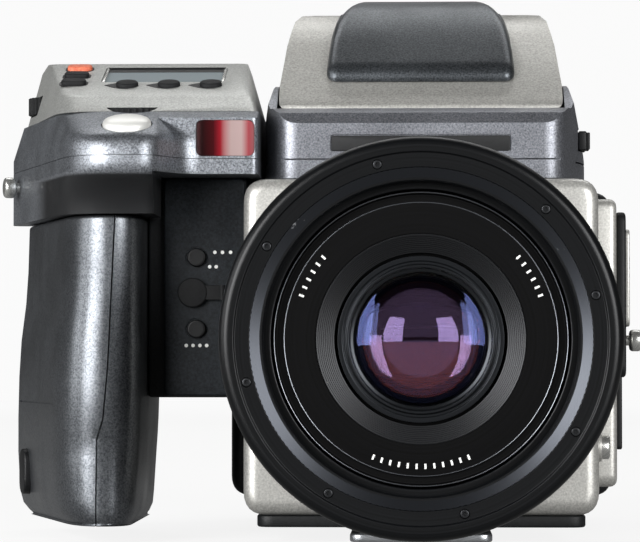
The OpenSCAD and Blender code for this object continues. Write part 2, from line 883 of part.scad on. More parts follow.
module collar_lower()
    color("#2e3135") union() {
        difference() {
            intersection() {
                along_z(collar_bot, collar_seam)
                    polygon(rounded(collar_plan));
                along_x(collar_left - 1, collar_right + 1)
                    polygon([[collar_back + 1, collar_bot - 1], [collar_back + 1, collar_seam + 1],
                        [collar_front - 2, collar_seam + 1], under_top - 0.2 * (under_bot - under_top),
                        under_bot + 0.1 * (under_bot - under_top)]);
            }
            block(web_left - run_gap, collar_right + 1, panel_y - run_gap, collar_back + 1, collar_bot - 1,
                web_top);
            block(nose_right, collar_right + 1, collar_front - 1, collar_back + 1, collar_bot - 1, web_top);
        }
        along_z(collar_bot - rail_l, collar_bot + eps)
            rail_outline(0);
    }

module collar_upper()
    color("#34373b") difference() {
        intersection() {
            along_z(collar_seam, collar_top)
                polygon(rounded(collar_plan));
            beside_flank(collar_plan[4], collar_plan[5])
                polygon([[-1.2, collar_seam - 1], [2.8, collar_top + 1],
                    [flank_reach, collar_top + 1], [flank_reach, collar_seam - 1]]);
            along_x(collar_left - 1, collar_right + 1)
                polygon([[collar_front - 1, collar_seam - 1], [collar_front - 1, shoulder_z - 1],
                    [collar_front, shoulder_z], [collar_front + shoulder_d, collar_top],
                    [collar_back + 1, collar_top], [collar_back + 1, collar_seam - 1]]);
        }
        on_shoulder(shutter_x, shutter_s)
            translate([0, 0, -shutter_well])
                cylinder(h = shutter_well + 2, r = shutter_r + run_gap);
        difference() {
            front_wheel_room();
            rod_z(shutter_x, wheel_front_y, wheel_front_z - 1, wheel_front_z + front_wheel_t, axle_r);
        }
        block(af_x - seat, af_x + af_w + seat, af_front - 1, af_front + af_t, af_z - seat,
            af_z + af_h + seat);
    }

module front_wheel_room()
    rod_z(shutter_x, wheel_front_y, wheel_front_z - run_gap, wheel_front_z + front_wheel_t + run_gap,
        front_wheel_r + run_gap);

module wheel(x, y, z, r, t, n)
    translate([x, y, z])
        difference() {
            linear_extrude(t)
                polygon(teeth(n, r - 0.6, r));
            translate([0, 0, -1])
                cylinder(h = t + 2, r = axle_r + fit);
        }

module front_wheel()
    color("#1b1c1e") wheel(shutter_x, wheel_front_y, wheel_front_z, front_wheel_r, front_wheel_t, 30);

module shutter_button()
    color("#e2e2de") on_shoulder(shutter_x, shutter_s)
        rotate_extrude()
            polygon([[0, -shutter_root], [shutter_r, -shutter_root], [shutter_r, 0.5],
                [shutter_r - 0.8, 1], [0, 1.6]]);

module af_window()
    color("#8f1d22") block(af_x, af_x + af_w, af_front, af_front + af_t, af_z, af_z + af_h);

// Top plate and its controls

module top_plate()
    color("#a6a7a5") difference() {
        intersection() {
            along_z(collar_top, top_z + 2)
                polygon(rounded(plate_plan));
            along_x(plate_left - 1, plate_right + 1)
                polygon([[plate_front, collar_top], [bevel_y, bevel_z], [top_y, top_z],
                    [top_y + 6, top_z + 0.6], [plate_back, top_z - 2], [plate_back, collar_top]]);
            along_y(plate_front - 1, plate_back + 1)
                polygon([[plate_left - 1, collar_top], [plate_left - 1, top_z + 1],
                    [plate_right - 4.5, top_z + 1], [plate_right, collar_top]]);
            beside_flank(plate_plan[2], plate_plan[3])
                polygon([[-0.3, collar_top - 1], [4, top_z + 1], [flank_reach, top_z + 1],
                    [flank_reach, collar_top - 1]]);
        }
        for (i = [-1 : 1])
            on_slope(row_x + i * row_pitch, row_s)
                translate([0, 0, -button_pocket])
                    cylinder(h = button_pocket + 2, r = row_button_r + fit);
        for (s = side_s)
            on_slope(side_x, s)
                translate([0, 0, -button_pocket])
                    linear_extrude(button_pocket + 2)
                        side_button_outline(fit);
        on_slope(lcd_x, lcd_s)
            translate([-lcd_w / 2 - seat, -lcd_d / 2 - seat, -lcd_t - seat])
                cube([lcd_w + 2 * seat, lcd_d + 2 * seat, 3]);
        front_wheel_room();
        difference() {
            rod_z(rear_wheel_x, rear_wheel_y, rear_wheel_z - run_gap, rear_wheel_z + rear_wheel_t + run_gap,
                rear_wheel_r + run_gap);
            rod_z(rear_wheel_x, rear_wheel_y, rear_wheel_z - 1, rear_wheel_z + rear_wheel_t + 1, axle_r);
        }
    }

module side_button_outline(gap)
    round_rect(side_button_w + 2 * gap, side_button_d + 2 * gap, side_button_d / 2 - 0.1);

module row_button(i)
    color("#1b1c1f") on_slope(row_x + i * row_pitch, row_s)
        translate([0, 0, -button_root])
            cylinder(h = button_root + button_proud, r = row_button_r);

module drive_button() row_button(-1);
module focus_mode_button() row_button(0);
module flash_mode_button() row_button(1);

module side_button(i, tint)
    color(tint) on_slope(side_x, side_s[i])
        translate([0, 0, -button_root])
            linear_extrude(button_root + button_proud)
                side_button_outline(0);

module menu_button() side_button(0, "#1b1c1f");
module profile_button() side_button(1, "#1b1c1f");
module power_button() side_button(2, "#d4785c");

module lcd_window()
    color("#9aa3a8") on_slope(lcd_x, lcd_s)
        translate([-lcd_w / 2, -lcd_d / 2, -lcd_t])
            cube([lcd_w, lcd_d, lcd_t]);

module rear_wheel()
    color("#1b1c1e") wheel(rear_wheel_x, rear_wheel_y, rear_wheel_z, rear_wheel_r, rear_wheel_t, 34);

// Finder

module finder_base()
    color("#6f7078") difference() {
        intersection() {
            union() {
                along_x(-finder_side - 1, finder_side + 1)
                    polygon([[finder_front, finder_bot], [finder_front, finder_mid - 4],
                        [finder_front + 2.5, finder_mid - 1.4], [finder_front + 7, finder_mid],
                        [block_front, finder_mid], [block_front, finder_top], [finder_back - 8, finder_top],
                        [finder_back, finder_top - 4], [finder_back, finder_bot]]);
                for (s = [0, 1])
                    mirror([s, 0, 0])
                        along_x(hood_w / 2 + run_gap, finder_side + 1)
                            polygon([[finder_front + 7, finder_mid - eps],
                                [finder_front + 19, finder_top - 1], [finder_front + 24, finder_top],
                                [block_front + eps, finder_top], [block_front + eps, finder_mid - eps]]);
            }
            along_z(finder_bot - 1, finder_top + 1)
                polygon(rounded(finder_plan));
            along_y(finder_front - 1, finder_back + 1)
                polygon([for (s = [1, -1], i = [0 : 2]) let (p = finder_lean[s > 0 ? i : 2 - i])
                    [s * p[0], p[1]]]);
        }
        block(-well_w / 2, well_w / 2, well_front, well_front + well_d, finder_bot - 1, prism_floor + 1);
        block(-prism_w / 2 - 2, prism_w / 2 + 2, hood_front + 4, block_front - 4, prism_floor,
            finder_mid + 1);
        rod_y(0, block_front - 5, finder_back + 1, eye_z, eye_r - 1);
        rod_y(0, finder_back - 7, finder_back + 1, eye_z, eye_r + seat);
    }

// Side view of the hood
module hood_profile()
    polygon([[hood_front, hood_foot], hood_low, hood_high, hood_brow, hood_crown,
        [hood_front + 66, hood_top - 0.5], [finder_back - 8, finder_top + 0.8],
        [finder_back - 8, finder_top + seat], [block_front - run_gap, finder_top + seat],
        [block_front - run_gap, hood_foot]]);

module finder_hood()
    color("#b4b5b1") difference() {
        union() {
            intersection() {
                along_x(-hood_w / 2, hood_w / 2)
                    hood_profile();
                along_y(hood_front - 1, finder_back)
                    polygon(leaning(hood_w / 2, (hood_w - hood_top_w) / 2, hood_edge));
            }
            for (s = [0, 1])
                mirror([s, 0, 0])
                    hood_ear();
        }
        along_x(-hood_top_w / 2 + hood_wall + 1.6, hood_top_w / 2 - hood_wall - 1.6)
            polygon([[hood_front + 5, hood_foot - 1], hood_high + [2, -hood_wall - 0.4],
                hood_crown - [0, hood_wall], [hood_front + 64, hood_top - hood_wall - 0.5],
                [block_front - 4, finder_top + 8], [block_front - 4, hood_foot - 1]]);
        rod_x(-hood_w, hood_w, hinge_y, hinge_z, hinge_pin_r + seat);
    }

// Ear that holds one end of the flash hinge pin
module hood_ear() {
    x0 = knuckle_w / 2 + run_gap;
    block(x0, x0 + ear_w, hinge_y - knuckle_r, hinge_y + knuckle_r, hood_top - 1.5, hinge_z);
    rod_x(x0, x0 + ear_w, hinge_y, hinge_z, knuckle_r);
}

module flash_pin() {
    reach = knuckle_w / 2 + run_gap + ear_w;
    color("#c0c2c4") rod_x(-reach, reach, hinge_y, hinge_z, hinge_pin_r);
}

module flash_cover()
    color("#3f4346") difference() {
        union() {
            intersection() {
                along_x(-cover_w / 2, cover_w / 2)
                    polygon([hood_low + 0.29 * hood_rake + run_gap * hood_out,
                        hood_low + 0.26 * hood_rake + 0.6 * cover_t * hood_out,
                        hood_low + 0.36 * hood_rake + cover_t * hood_out, hood_high + cover_t * hood_out,
                        hood_brow + [-1.5, cover_t], hood_crown + [-3, cover_t],
                        [hinge_y - 3, hood_top + cover_t - 0.3], [hinge_y - 3, hood_top + run_gap],
                        hood_crown + [0, run_gap], hood_brow + [-0.4, run_gap],
                        hood_high + run_gap * 1.2 * hood_out]);
                along_y(hood_front - 20, hinge_y)
                    polygon(leaning(cover_w / 2, (cover_w - cover_top_w) / 2, cover_edge));
            }
            rod_x(-knuckle_w / 2, knuckle_w / 2, hinge_y, hinge_z, knuckle_r);
            block(-knuckle_w / 2, knuckle_w / 2, hinge_y - 3.5, hinge_y, hood_top + 0.5, hinge_z + 0.6);
        }
        rod_x(-knuckle_w, knuckle_w, hinge_y, hinge_z, hinge_pin_r + fit);
    }

module flash_catch()
    color("#1b1c1e") union() {
        x0 = finder_w / 2 + run_gap;
        block(x0, x0 + 2, catch_y, catch_y + 8, catch_z - 2.3, catch_z + 2.3);
        for (i = [0 : 3])
            block(x0 + 1.9, x0 + 2.8, catch_y + 0.6 + 1.9 * i, catch_y + 1.7 + 1.9 * i, catch_z - 2,
                catch_z + 2);
    }

module finder_optics()
    color("#cfe0e6") union() {
        along_x(-prism_w / 2, prism_w / 2)
            polygon([[hood_front + 6, prism_floor], [hood_front + 6, finder_mid - 3],
                hood_high + [3, -hood_wall - 5], hood_crown - [0, hood_wall + 3],
                [block_front - 12, finder_top + 6], [block_front - 6, finder_mid - 2],
                [block_front - 6, prism_floor]]);
        rod_y(0, finder_back - 6, finder_back - 3, eye_z, eye_r);
    }

module eyecup()
    color("#17181a") along_y(finder_back, finder_back + eyecup_l)
        translate([0, eye_z])
            difference() {
                round_rect(eyecup_w, eyecup_h, eyecup_h / 2 - 1.5);
                round_rect(eyecup_w - 12, eyecup_h - 8, (eyecup_h - 8) / 2 - 0.5);
            }

// Digital back

module back_housing()
    color("#25272a") difference() {
        along_y(back_front, back_rear)
            round_box(-back_side, back_side, back_clear, back_top, back_r);
        block(-back_side + back_wall, back_side - back_wall, back_front + back_wall, back_rear - back_wall,
            back_clear + back_wall, back_top - back_wall);
        block(-gate_w / 2, gate_w / 2, back_front - 1, back_front + back_wall + 1, axis_z - gate_h / 2,
            axis_z + gate_h / 2);
        block(-display_w / 2 - seat, display_w / 2 + seat, back_rear - display_t - seat, back_rear + 1,
            display_z - display_h / 2 - seat, display_z + display_h / 2 + seat);
        rod_y(0, back_rear - back_wall - 1, back_rear + 1, rocker_z, rocker_r + fit);
        for (s = [-1, 1])
            rod_y(s * back_button_x, back_rear - back_wall - 1, back_rear + 1, rocker_z, back_button_r + fit);
        block(back_side - door_t - run_gap, back_side + 1, door_back - door_w - run_gap,
            door_back + door_t / 2 + run_gap, door_z - door_h / 2 - run_gap, door_z + door_h / 2 + run_gap);
        rod_z(door_axis_x, door_back, door_z - door_h / 2 - 2, door_z + door_h / 2 + 2, door_pin_r + fit);
    }

module sensor_unit()
    color("#3c5f58") union() {
        board_y = back_front + back_wall;
        block(-gate_w / 2 - 5, gate_w / 2 + 5, board_y, board_y + 2.5, axis_z - gate_h / 2 - 6,
            axis_z + gate_h / 2 + 6);
        block(-sensor_w / 2, sensor_w / 2, back_front + 0.8, board_y + eps, axis_z - sensor_h / 2,
            axis_z + sensor_h / 2);
    }

module back_display()
    color("#0e0f11") block(-display_w / 2, display_w / 2, back_rear - display_t, back_rear,
        display_z - display_h / 2, display_z + display_h / 2);

module back_key(x, r)
    color("#3b3e42") rod_y(x, back_rear - back_wall, back_rear + button_proud, rocker_z, r);

module back_rocker() back_key(0, rocker_r);
module back_button_left() back_key(back_button_x, back_button_r);
module back_button_right() back_key(-back_button_x, back_button_r);

module card_door()
    color("#2c2e31") union() {
        block(back_side - door_t, back_side, door_back - door_w, door_back, door_z - door_h / 2,
            door_z + door_h / 2);
        rod_z(door_axis_x, door_back, door_z - door_h / 2, door_z + door_h / 2, door_t / 2);
        rod_z(door_axis_x, door_back, door_z - door_h / 2 - 1.7, door_z + door_h / 2 + 1.7, door_pin_r);
    }

// Lens

module lens_barrel()
    color("#18191b") turned()
        polygon([[spigot_in_r, spigot_y], [throat_r - run_gap, spigot_y],
            [throat_r - run_gap, flange_y - seat], [barrel_r - 1.5, flange_y - seat],
            [barrel_r, flange_y - 1.5], [barrel_r, barrel_front], [sleeve_r, barrel_front],
            [sleeve_r, front_back_y], [bore_r, front_back_y], [bore_r, cell_back + run_gap],
            [spigot_in_r, cell_back + run_gap]]);

module focus_ring()
    color("#141516") difference() {
        translate([0, barrel_front - run_gap, axis_z])
            rotate([90, 0, 0])
                linear_extrude(barrel_front - front_back_y - 2 * run_gap)
                    polygon(teeth(focus_ribs, focus_r - 0.7, focus_r));
        lens_rod(front_back_y - 1, barrel_front + 1, sleeve_r + fit);
    }

module front_ring()
    color("#101112") difference() {
        turned()
            polygon([[front_in_r, front_back_y], [focus_r - 0.7, front_back_y],
                [front_r - 0.9, front_back_y - 3.5], [front_r, front_back_y - 6],
                [front_r, lens_front + 1.1], [front_r - 0.85, lens_front],
                [ring_screw_pcd_r + 1.7, lens_front], [ring_screw_pcd_r + 1.5, lens_front + recess],
                [filter_r + band_w, lens_front + recess], [filter_r, thread_y],
                [filter_r, thread_y + filter_len], [front_in_r, thread_y + filter_len]]);
        ring_screw_places()
            rod_y(0, lens_front, lens_front + recess + ring_screw_l, 0, ring_screw_r + seat);
    }

module ring_screw_places()
    for (a = ring_screw_a)
        round_lens(a, ring_screw_pcd_r)
            children();

module ring_screws()
    color("#2a2b2d") ring_screw_places()
        rod_y(0, lens_front + recess - 0.3, lens_front + recess + ring_screw_l, 0, ring_screw_r);

// Carriage that holds the glasses and the aperture, with the front retaining lip
module lens_cell()
    color("#1a1b1c") difference() {
        turned()
            polygon([[cell_r, cell_back], [cell_r, cell_front], [cell_in_r, cell_front],
                [cell_in_r, lip_y + lip_t + 0.8], [lip_out_r, lip_y + lip_t + 0.8], [lip_out_r, lip_y],
                [lip_in_r, lip_y], [lip_in_r, lip_y + lip_t], [glass_r + seat, lip_y + lip_t],
                [glass_r + seat, glass_back], [iris_r + 0.3, glass_back], [iris_r + 0.3, glass_back + 2],
                [cell_in_r, glass_back + 2], [cell_in_r, iris_y], [iris_r, iris_y],
                [iris_r, iris_y + iris_plate_t], [cell_in_r, iris_y + iris_plate_t],
                [cell_in_r, cell_back - 6], [rear_glass_r + seat, cell_back - 6],
                [rear_glass_r + seat, cell_back - 2], [rear_glass_r - 1, cell_back - 2],
                [rear_glass_r - 1, cell_back]]);
        for (i = [0 : blades - 1])
            round_lens(blade_angle(i), blade_pivot_r)
                rod_y(0, iris_y - 1, iris_y + iris_plate_t + 1, 0, blade_pin_r + fit);
    }

module name_ring()
    color("#0f1011") turned()
        polygon(concat([[cell_r - 0.1, cell_front], [cell_r - 0.1, name_y], [cone_r, name_y]], cone_steps,
            [[cone_in_r, name_y + cone_l + 0.2], [cone_in_r + 1, name_y + cone_l + 0.2],
                [cone_r + 2.5, cell_front]]));

module lens_glass()
    color("#3b3550") union() {
        intersection() {
            translate([0, glass_y + glass_curve_r, axis_z])
                sphere(glass_curve_r, $fn = 96);
            lens_rod(glass_y - 1, glass_back - seat, glass_r);
        }
        lens_rod(cell_back - 2 - rear_glass_t, cell_back - 2 - seat, rear_glass_r);
    }

function blade_angle(i) = 360 * i / blades;

// Crescent blade on its own level, with its pivot pin in the plate behind
module aperture_blade(i) {
    y1 = iris_y - 0.35 - i * blade_step;
    color("#24262a") translate([0, 0, axis_z])
        rotate([0, -blade_angle(i), 0])
            union() {
                along_y(y1 - blade_t, y1)
                    blade_outline();
                rod_y(blade_pivot_r, y1 - blade_t, iris_y + iris_plate_t - 0.4, 0, blade_pin_r);
            }
}

module blade_outline() {
    intersection() {
        difference() {
            circle(blade_out_r);
            circle(iris_r + 0.2);
        }
        rotate(-5)
            square(blade_out_r + 5);
    }
    translate([blade_out_r - blade_arm_l, -blade_arm_r])
        square([blade_pivot_r - blade_out_r + blade_arm_l, 2 * blade_arm_r]);
    translate([blade_pivot_r, 0])
        circle(blade_arm_r);
}

module aperture_blade_1() aperture_blade(0);
module aperture_blade_2() aperture_blade(1);
module aperture_blade_3() aperture_blade(2);
module aperture_blade_4() aperture_blade(3);
module aperture_blade_5() aperture_blade(4);

body_shell();
mirror_box();
base_plate();
tripod_foot();
foot_screws();
lens_mount_ring();
focusing_screen();
side_cover();
strap_lugs();
grip_web();
grip_panel();
collar_lower();
collar_upper();
top_plate();
lcd_window();
af_window();
finder_base();
finder_hood();
finder_optics();
eyecup();
flash_pin();
back_housing();
sensor_unit();
back_display();
lens_barrel();
front_ring();
ring_screws();
reflex_mirror();
rear_flap_upper();
rear_flap_lower();
shutter_button();
front_wheel();
rear_wheel();
drive_button();
focus_mode_button();
flash_mode_button();
menu_button();
profile_button();
power_button();
mirror_up_button();
stop_down_button();
release_button();
remote_cap();
battery_grip();
battery_release();
flash_cover();
flash_catch();
focus_ring();
lens_cell();
name_ring();
lens_glass();
aperture_blade_1();
aperture_blade_2();
aperture_blade_3();
aperture_blade_4();
aperture_blade_5();
card_door();
back_rocker();
back_button_left();
back_button_right();
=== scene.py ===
# %% [markdown]
# # A medium format digital camera
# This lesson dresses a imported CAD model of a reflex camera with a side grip, a prism finder, a
# digital back and a wide standard lens. The CAD part gives every piece its place and its motion.
# Here each piece that shows gets its final shape, with soft edges, seams and fine relief, and a
# finish. All shapes are written in millimetres and turned into metres when a piece is finished.

# %% Load the frame
import math

import bmesh
import bpy
from mathutils import Matrix, Vector


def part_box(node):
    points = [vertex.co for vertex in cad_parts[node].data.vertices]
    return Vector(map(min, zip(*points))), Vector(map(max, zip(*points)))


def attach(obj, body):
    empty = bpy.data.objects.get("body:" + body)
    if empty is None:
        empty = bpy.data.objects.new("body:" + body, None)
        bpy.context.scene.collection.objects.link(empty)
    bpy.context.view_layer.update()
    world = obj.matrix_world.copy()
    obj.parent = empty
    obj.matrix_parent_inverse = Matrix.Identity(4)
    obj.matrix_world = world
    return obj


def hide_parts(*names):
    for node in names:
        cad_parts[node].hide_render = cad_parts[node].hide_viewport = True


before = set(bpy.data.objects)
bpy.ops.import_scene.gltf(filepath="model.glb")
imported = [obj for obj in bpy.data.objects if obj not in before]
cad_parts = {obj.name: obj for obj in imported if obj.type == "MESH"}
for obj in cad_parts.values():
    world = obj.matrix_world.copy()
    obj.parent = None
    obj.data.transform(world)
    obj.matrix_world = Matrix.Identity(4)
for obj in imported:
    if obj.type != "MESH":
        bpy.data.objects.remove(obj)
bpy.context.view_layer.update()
MM = 0.001


def box_mm(node):
    """Lowest and highest corner of a CAD node, in millimetres."""
    low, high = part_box(node)
    return low / MM, high / MM


# %% [markdown]
# ## The camera that looks at the camera
# The picture was taken nearly level and straight on, from about three quarters of a metre in front
# of the tripod socket, with the lens axis almost at eye height. The eye is a little below the lens
# axis. The view is aimed slightly to the left and up, so nothing has to be shifted.

# %% Viewpoint
IMAGE_WIDTH_PX = 640
FOCAL_PX = 3057
SENSOR_MM = 36
EYE = Vector((0, -731, 41.4)) * MM
LOOK = Vector((-0.0330, 1, 0.0301))

view_data = bpy.data.cameras.new("viewpoint")
view_data.sensor_width = SENSOR_MM
view_data.lens = FOCAL_PX / IMAGE_WIDTH_PX * SENSOR_MM
viewpoint = bpy.data.objects.new("viewpoint", view_data)
viewpoint.location = EYE
viewpoint.rotation_euler = LOOK.to_track_quat("-Z", "Y").to_euler()
bpy.context.scene.collection.objects.link(viewpoint)
bpy.context.scene.camera = viewpoint
bpy.context.scene.view_settings.view_transform = "Standard"
print("Focal length:", round(view_data.lens, 1), "mm")

# %% [markdown]
# ## Colours and shader nodes
# Every colour is written as the hex value that a picture editor shows. Shaders want linear light,
# so one function converts it. A second small function adds a shader node with its settings and its
# links, which keeps each finish readable as a short list of nodes.

# %% Helpers for finishes


def colour(code):
    """Linear RGBA colour of an sRGB hex value."""
    parts = [int(code[i:i + 2], 16) / 255 for i in (1, 3, 5)]
    return [p / 12.92 if p <= 0.04045 else ((p + 0.055) / 1.055) ** 2.4 for p in parts] + [1.0]


def add_node(tree, kind, inputs=None, stops=None, **settings):
    """Adds a node; an input takes a value or another node's output, and a ramp takes its stops."""
    node = tree.nodes.new(kind)
    for name, value in settings.items():
        setattr(node, name, value)
    for name, value in (inputs or {}).items():
        if isinstance(value, bpy.types.NodeSocket):
            tree.links.new(value, node.inputs[name])
        else:
            node.inputs[name].default_value = value
    for i, (position, code) in enumerate(stops or []):
        elements = node.color_ramp.elements
        element = elements[i] if i < 2 else elements.new(position)
        element.position = position
        element.color = colour(code)
    return node


def new_finish(name):
    """An empty material with its shader linked up, and the coordinates of the piece."""
    finish = bpy.data.materials.new(name)
    finish.use_nodes = True
    tree = finish.node_tree
    shader = tree.nodes["Principled BSDF"]
    place = add_node(tree, "ShaderNodeTexCoord").outputs["Object"]
    return finish, tree, shader, place


print("Finish helpers ready")

# %% [markdown]
# ## Stage and light
# White paper lies under and behind the object. To the viewpoint it is almost evenly white, as in a
# cut-out product picture, with a faint shadow on the floor. Glass lets it through at full strength,
# metal mirrors it paler, and the light that it throws back is grey, so that dark paint stays dark.
# Stronger lamps on grey paper would give the same white, but they would bleach the object too.

# %% White paper
MIRRORED = 0.18


def white_paper(name, near_glow, far_glow=0.95, near=0.3, far=2.2):
    """Matt paper that looks evenly lit; what does not glow is lit by the lamps and takes the shadow."""
    finish, tree, shader, place = new_finish(name)
    tree.nodes.remove(shader)
    distance = add_node(tree, "ShaderNodeVectorMath", {0: place}, operation="LENGTH")
    glow = add_node(tree, "ShaderNodeMapRange",
                    {"Value": distance.outputs["Value"], "From Min": near, "From Max": far,
                     "To Min": near_glow, "To Max": far_glow})
    rays = add_node(tree, "ShaderNodeLightPath")
    direct = add_node(tree, "ShaderNodeMath", {0: rays.outputs["Is Camera Ray"],
                                               1: rays.outputs["Is Transmission Ray"]}, operation="MAXIMUM")
    seen = add_node(tree, "ShaderNodeMath", {0: rays.outputs["Is Glossy Ray"], 1: MIRRORED,
                                             2: direct.outputs[0]}, operation="MULTIPLY_ADD")
    lamp_lit = add_node(tree, "ShaderNodeBsdfDiffuse", {"Color": colour("#f2f2f0")})
    glowing = add_node(tree, "ShaderNodeEmission", {"Color": colour("#ffffff"), "Strength": 1.0})
    white = add_node(tree, "ShaderNodeMixShader",
                     {0: glow.outputs["Result"], 1: lamp_lit.outputs[0], 2: glowing.outputs[0]})
    grey = add_node(tree, "ShaderNodeBsdfDiffuse", {"Color": colour("#6a6a69")})
    mixed = add_node(tree, "ShaderNodeMixShader",
                     {0: seen.outputs[0], 1: grey.outputs[0], 2: white.outputs[0]})
    tree.links.new(mixed.outputs[0], tree.nodes["Material Output"].inputs["Surface"])
    return finish


def stage_piece(name, bm, finish):
    """A floor or backdrop, which is not part of the object."""
    mesh = bpy.data.meshes.new(name)
    bm.to_mesh(mesh)
    bm.free()
    mesh.materials.append(finish)
    obj = bpy.data.objects.new(name, mesh)
    bpy.context.scene.collection.objects.link(obj)


FLOOR_RADIUS = 3.6
WALL_Y = 2.7
WALL_HALF_WIDTH = 0.9
WALL_HEIGHT = 0.9
bm = bmesh.new()
bmesh.ops.create_circle(bm, cap_ends=True, segments=64, radius=FLOOR_RADIUS)
stage_piece("floor", bm, white_paper("floor_paper", 0.86))
bm = bmesh.new()
bmesh.ops.create_grid(bm, x_segments=1, y_segments=1, size=1)
bmesh.ops.scale(bm, vec=(WALL_HALF_WIDTH, WALL_HEIGHT / 2, 1), verts=bm.verts)
bmesh.ops.rotate(bm, matrix=Matrix.Rotation(math.pi / 2, 3, "X"), verts=bm.verts)
bmesh.ops.translate(bm, vec=(0, WALL_Y, WALL_HEIGHT / 2), verts=bm.verts)
stage_piece("backdrop", bm, white_paper("backdrop_paper", 0.95))

world = bpy.data.worlds.new("studio")
world.use_nodes = True
world.node_tree.nodes["Background"].inputs["Color"].default_value = colour("#ffffff")
world.node_tree.nodes["Background"].inputs["Strength"].default_value = 0.06
bpy.context.scene.world = world
print("Stage: paper floor and backdrop")

# %% [markdown]
# A tall soft box stands at either side of the viewpoint. The two light all the faces, draw the upright
# highlights on the grip and the housing and mirror in the front glass. A weaker one at the far left
# widens the grip's highlight, and one overhead and one behind draw the bright bevels. A point lamp
# would be simpler, but it leaves a dot on lacquer where a broad lamp leaves a band.

# %% Soft boxes


def soft_box(name, place, target, width, height, watts):
    """Rectangular lamp aimed at a point; places are in metres."""
    lamp = bpy.data.lights.new(name, "AREA")
    lamp.shape = "RECTANGLE"
    lamp.size = width
    lamp.size_y = height
    lamp.energy = watts
    obj = bpy.data.objects.new(name, lamp)
    obj.location = place
    obj.rotation_euler = (Vector(target) - Vector(place)).to_track_quat("-Z", "Y").to_euler()
    bpy.context.scene.collection.objects.link(obj)


MIDDLE = (-0.02, 0, 0.06)
soft_box("left_box", (-0.70, -0.88, 0.27), MIDDLE, 0.64, 0.66, 19.5)
soft_box("right_box", (0.67, -0.90, 0.27), MIDDLE, 0.6, 0.66, 14.5)
soft_box("side_box", (-1.10, -0.22, 0.28), MIDDLE, 0.5, 0.8, 4.5)
soft_box("overhead_box", (0.0, 0.65, 1.0), MIDDLE, 1.2, 0.25, 3.8)
soft_box("back_box", (0.1, 1.2, 0.5), MIDDLE, 1.0, 0.5, 0.9)
print("Soft boxes:", len(bpy.data.lights))

# %% [markdown]
# ## Finishes
# The silver casting is painted with a satin metallic lacquer, the collar and grip with a charcoal
# one that has a fine grit, and the lens is black anodised aluminium. Paint of this kind is not one
# colour: flakes and grit break up the light. Noise at the flake's size gives that, a second and
# much coarser noise varies the gloss as handling does, and a bump gives the grit its relief. Grit
# finer than a third of a millimetre would vanish in the picture, so it is drawn that coarse.

# %% Lacquers and moulded plastics
SMEAR_MM = 14


def lacquer(name, dark, light, flake_mm, metallic, roughness, relief_mm, spread=0.16, shine=0.5):
    """Flaked or gritty paint: noise for the flakes, coarse noise for the handling."""
    finish, tree, shader, place = new_finish(name)
    flakes = add_node(tree, "ShaderNodeTexNoise", {"Vector": place, "Scale": 1 / (flake_mm * MM),
                                                   "Detail": 3.0, "Roughness": 0.65})
    tint = add_node(tree, "ShaderNodeValToRGB", {"Fac": flakes.outputs["Fac"]},
                    stops=[(0.5 - spread, dark), (0.5 + spread, light)])
    smears = add_node(tree, "ShaderNodeTexNoise", {"Vector": place, "Scale": 1 / (SMEAR_MM * MM),
                                                   "Detail": 4.0})
    gloss = add_node(tree, "ShaderNodeMapRange", {"Value": smears.outputs["Fac"], "From Min": 0.3,
                                                  "From Max": 0.7, "To Min": roughness - 0.05,
                                                  "To Max": roughness + 0.07})
    relief = add_node(tree, "ShaderNodeBump", {"Height": flakes.outputs["Fac"], "Strength": 0.6,
                                               "Distance": relief_mm * MM})
    tree.links.new(tint.outputs["Color"], shader.inputs["Base Color"])
    tree.links.new(gloss.outputs["Result"], shader.inputs["Roughness"])
    tree.links.new(relief.outputs["Normal"], shader.inputs["Normal"])
    shader.inputs["Metallic"].default_value = metallic
    shader.inputs["Specular IOR Level"].default_value = shine
    return finish


# Satin silver lacquer on the castings: bright flakes, little relief
silver_lacquer = lacquer("silver_lacquer", "#a3a29e", "#c8c7c2", 0.5, 0.6, 0.4, 0.012)
# The same silver lacquer, made a little greyer on the finder's hood as painted shade
hood_shaded_silver = lacquer("hood_shaded_silver", "#94938f", "#b9b8b3", 0.5, 0.6, 0.38, 0.012)
# And on the grip's top plate
plate_lacquer = lacquer("plate_lacquer", "#8f908d", "#b5b6b3", 0.45, 0.6, 0.4, 0.015)
# Flaked grey lacquer on the finder housing
slate_lacquer = lacquer("slate_lacquer", "#4c4e53", "#8a8c92", 0.42, 0.75, 0.4, 0.05, 0.2)
# Darker flaked lacquer on the collar
COLLAR_PAINT = ("#4a4d52", "#a6aab0", 0.42, 0.92, 0.42, 0.05, 0.2)
collar_lacquer = lacquer("collar_lacquer", *COLLAR_PAINT)
# Charcoal lacquer with a finer grit on the grip
charcoal_lacquer = lacquer("charcoal_lacquer", "#4a4d51", "#7a7d81", 0.45, 0.92, 0.35, 0.03)
# Smoother dark lacquer on the flash cover
graphite_lacquer = lacquer("graphite_lacquer", "#34373a", "#5e6266", 0.42, 0.85, 0.36, 0.04)
# Glass-filled nylon of the digital back and the side covers
black_nylon = lacquer("black_nylon", "#0c0d0e", "#16181a", 0.55, 0.0, 0.5, 0.05, shine=0.25)
# Dull moulded ABS of buttons and inner walls
black_abs = lacquer("black_abs", "#090a0b", "#111214", 0.6, 0.0, 0.48, 0.02, shine=0.3)
# Orange silicone key
orange_silicone = lacquer("orange_silicone", "#b4533a", "#cf7252", 0.7, 0.0, 0.6, 0.02)
# Black silicone and natural rubber: wheels, focus grip, eyecup
black_rubber = lacquer("black_rubber", "#0a0b0c", "#131416", 0.7, 0.0, 0.66, 0.04, shine=0.25)
print("Materials so far:", len(bpy.data.materials))

# %% [markdown]
# Turned parts keep the fine lines that the tool left. On a flat ring they run round the axis, and
# on a tube they follow each other along it. The sum of the radius and the depth changes across the
# lines in both cases, so one noise along that sum draws them all.

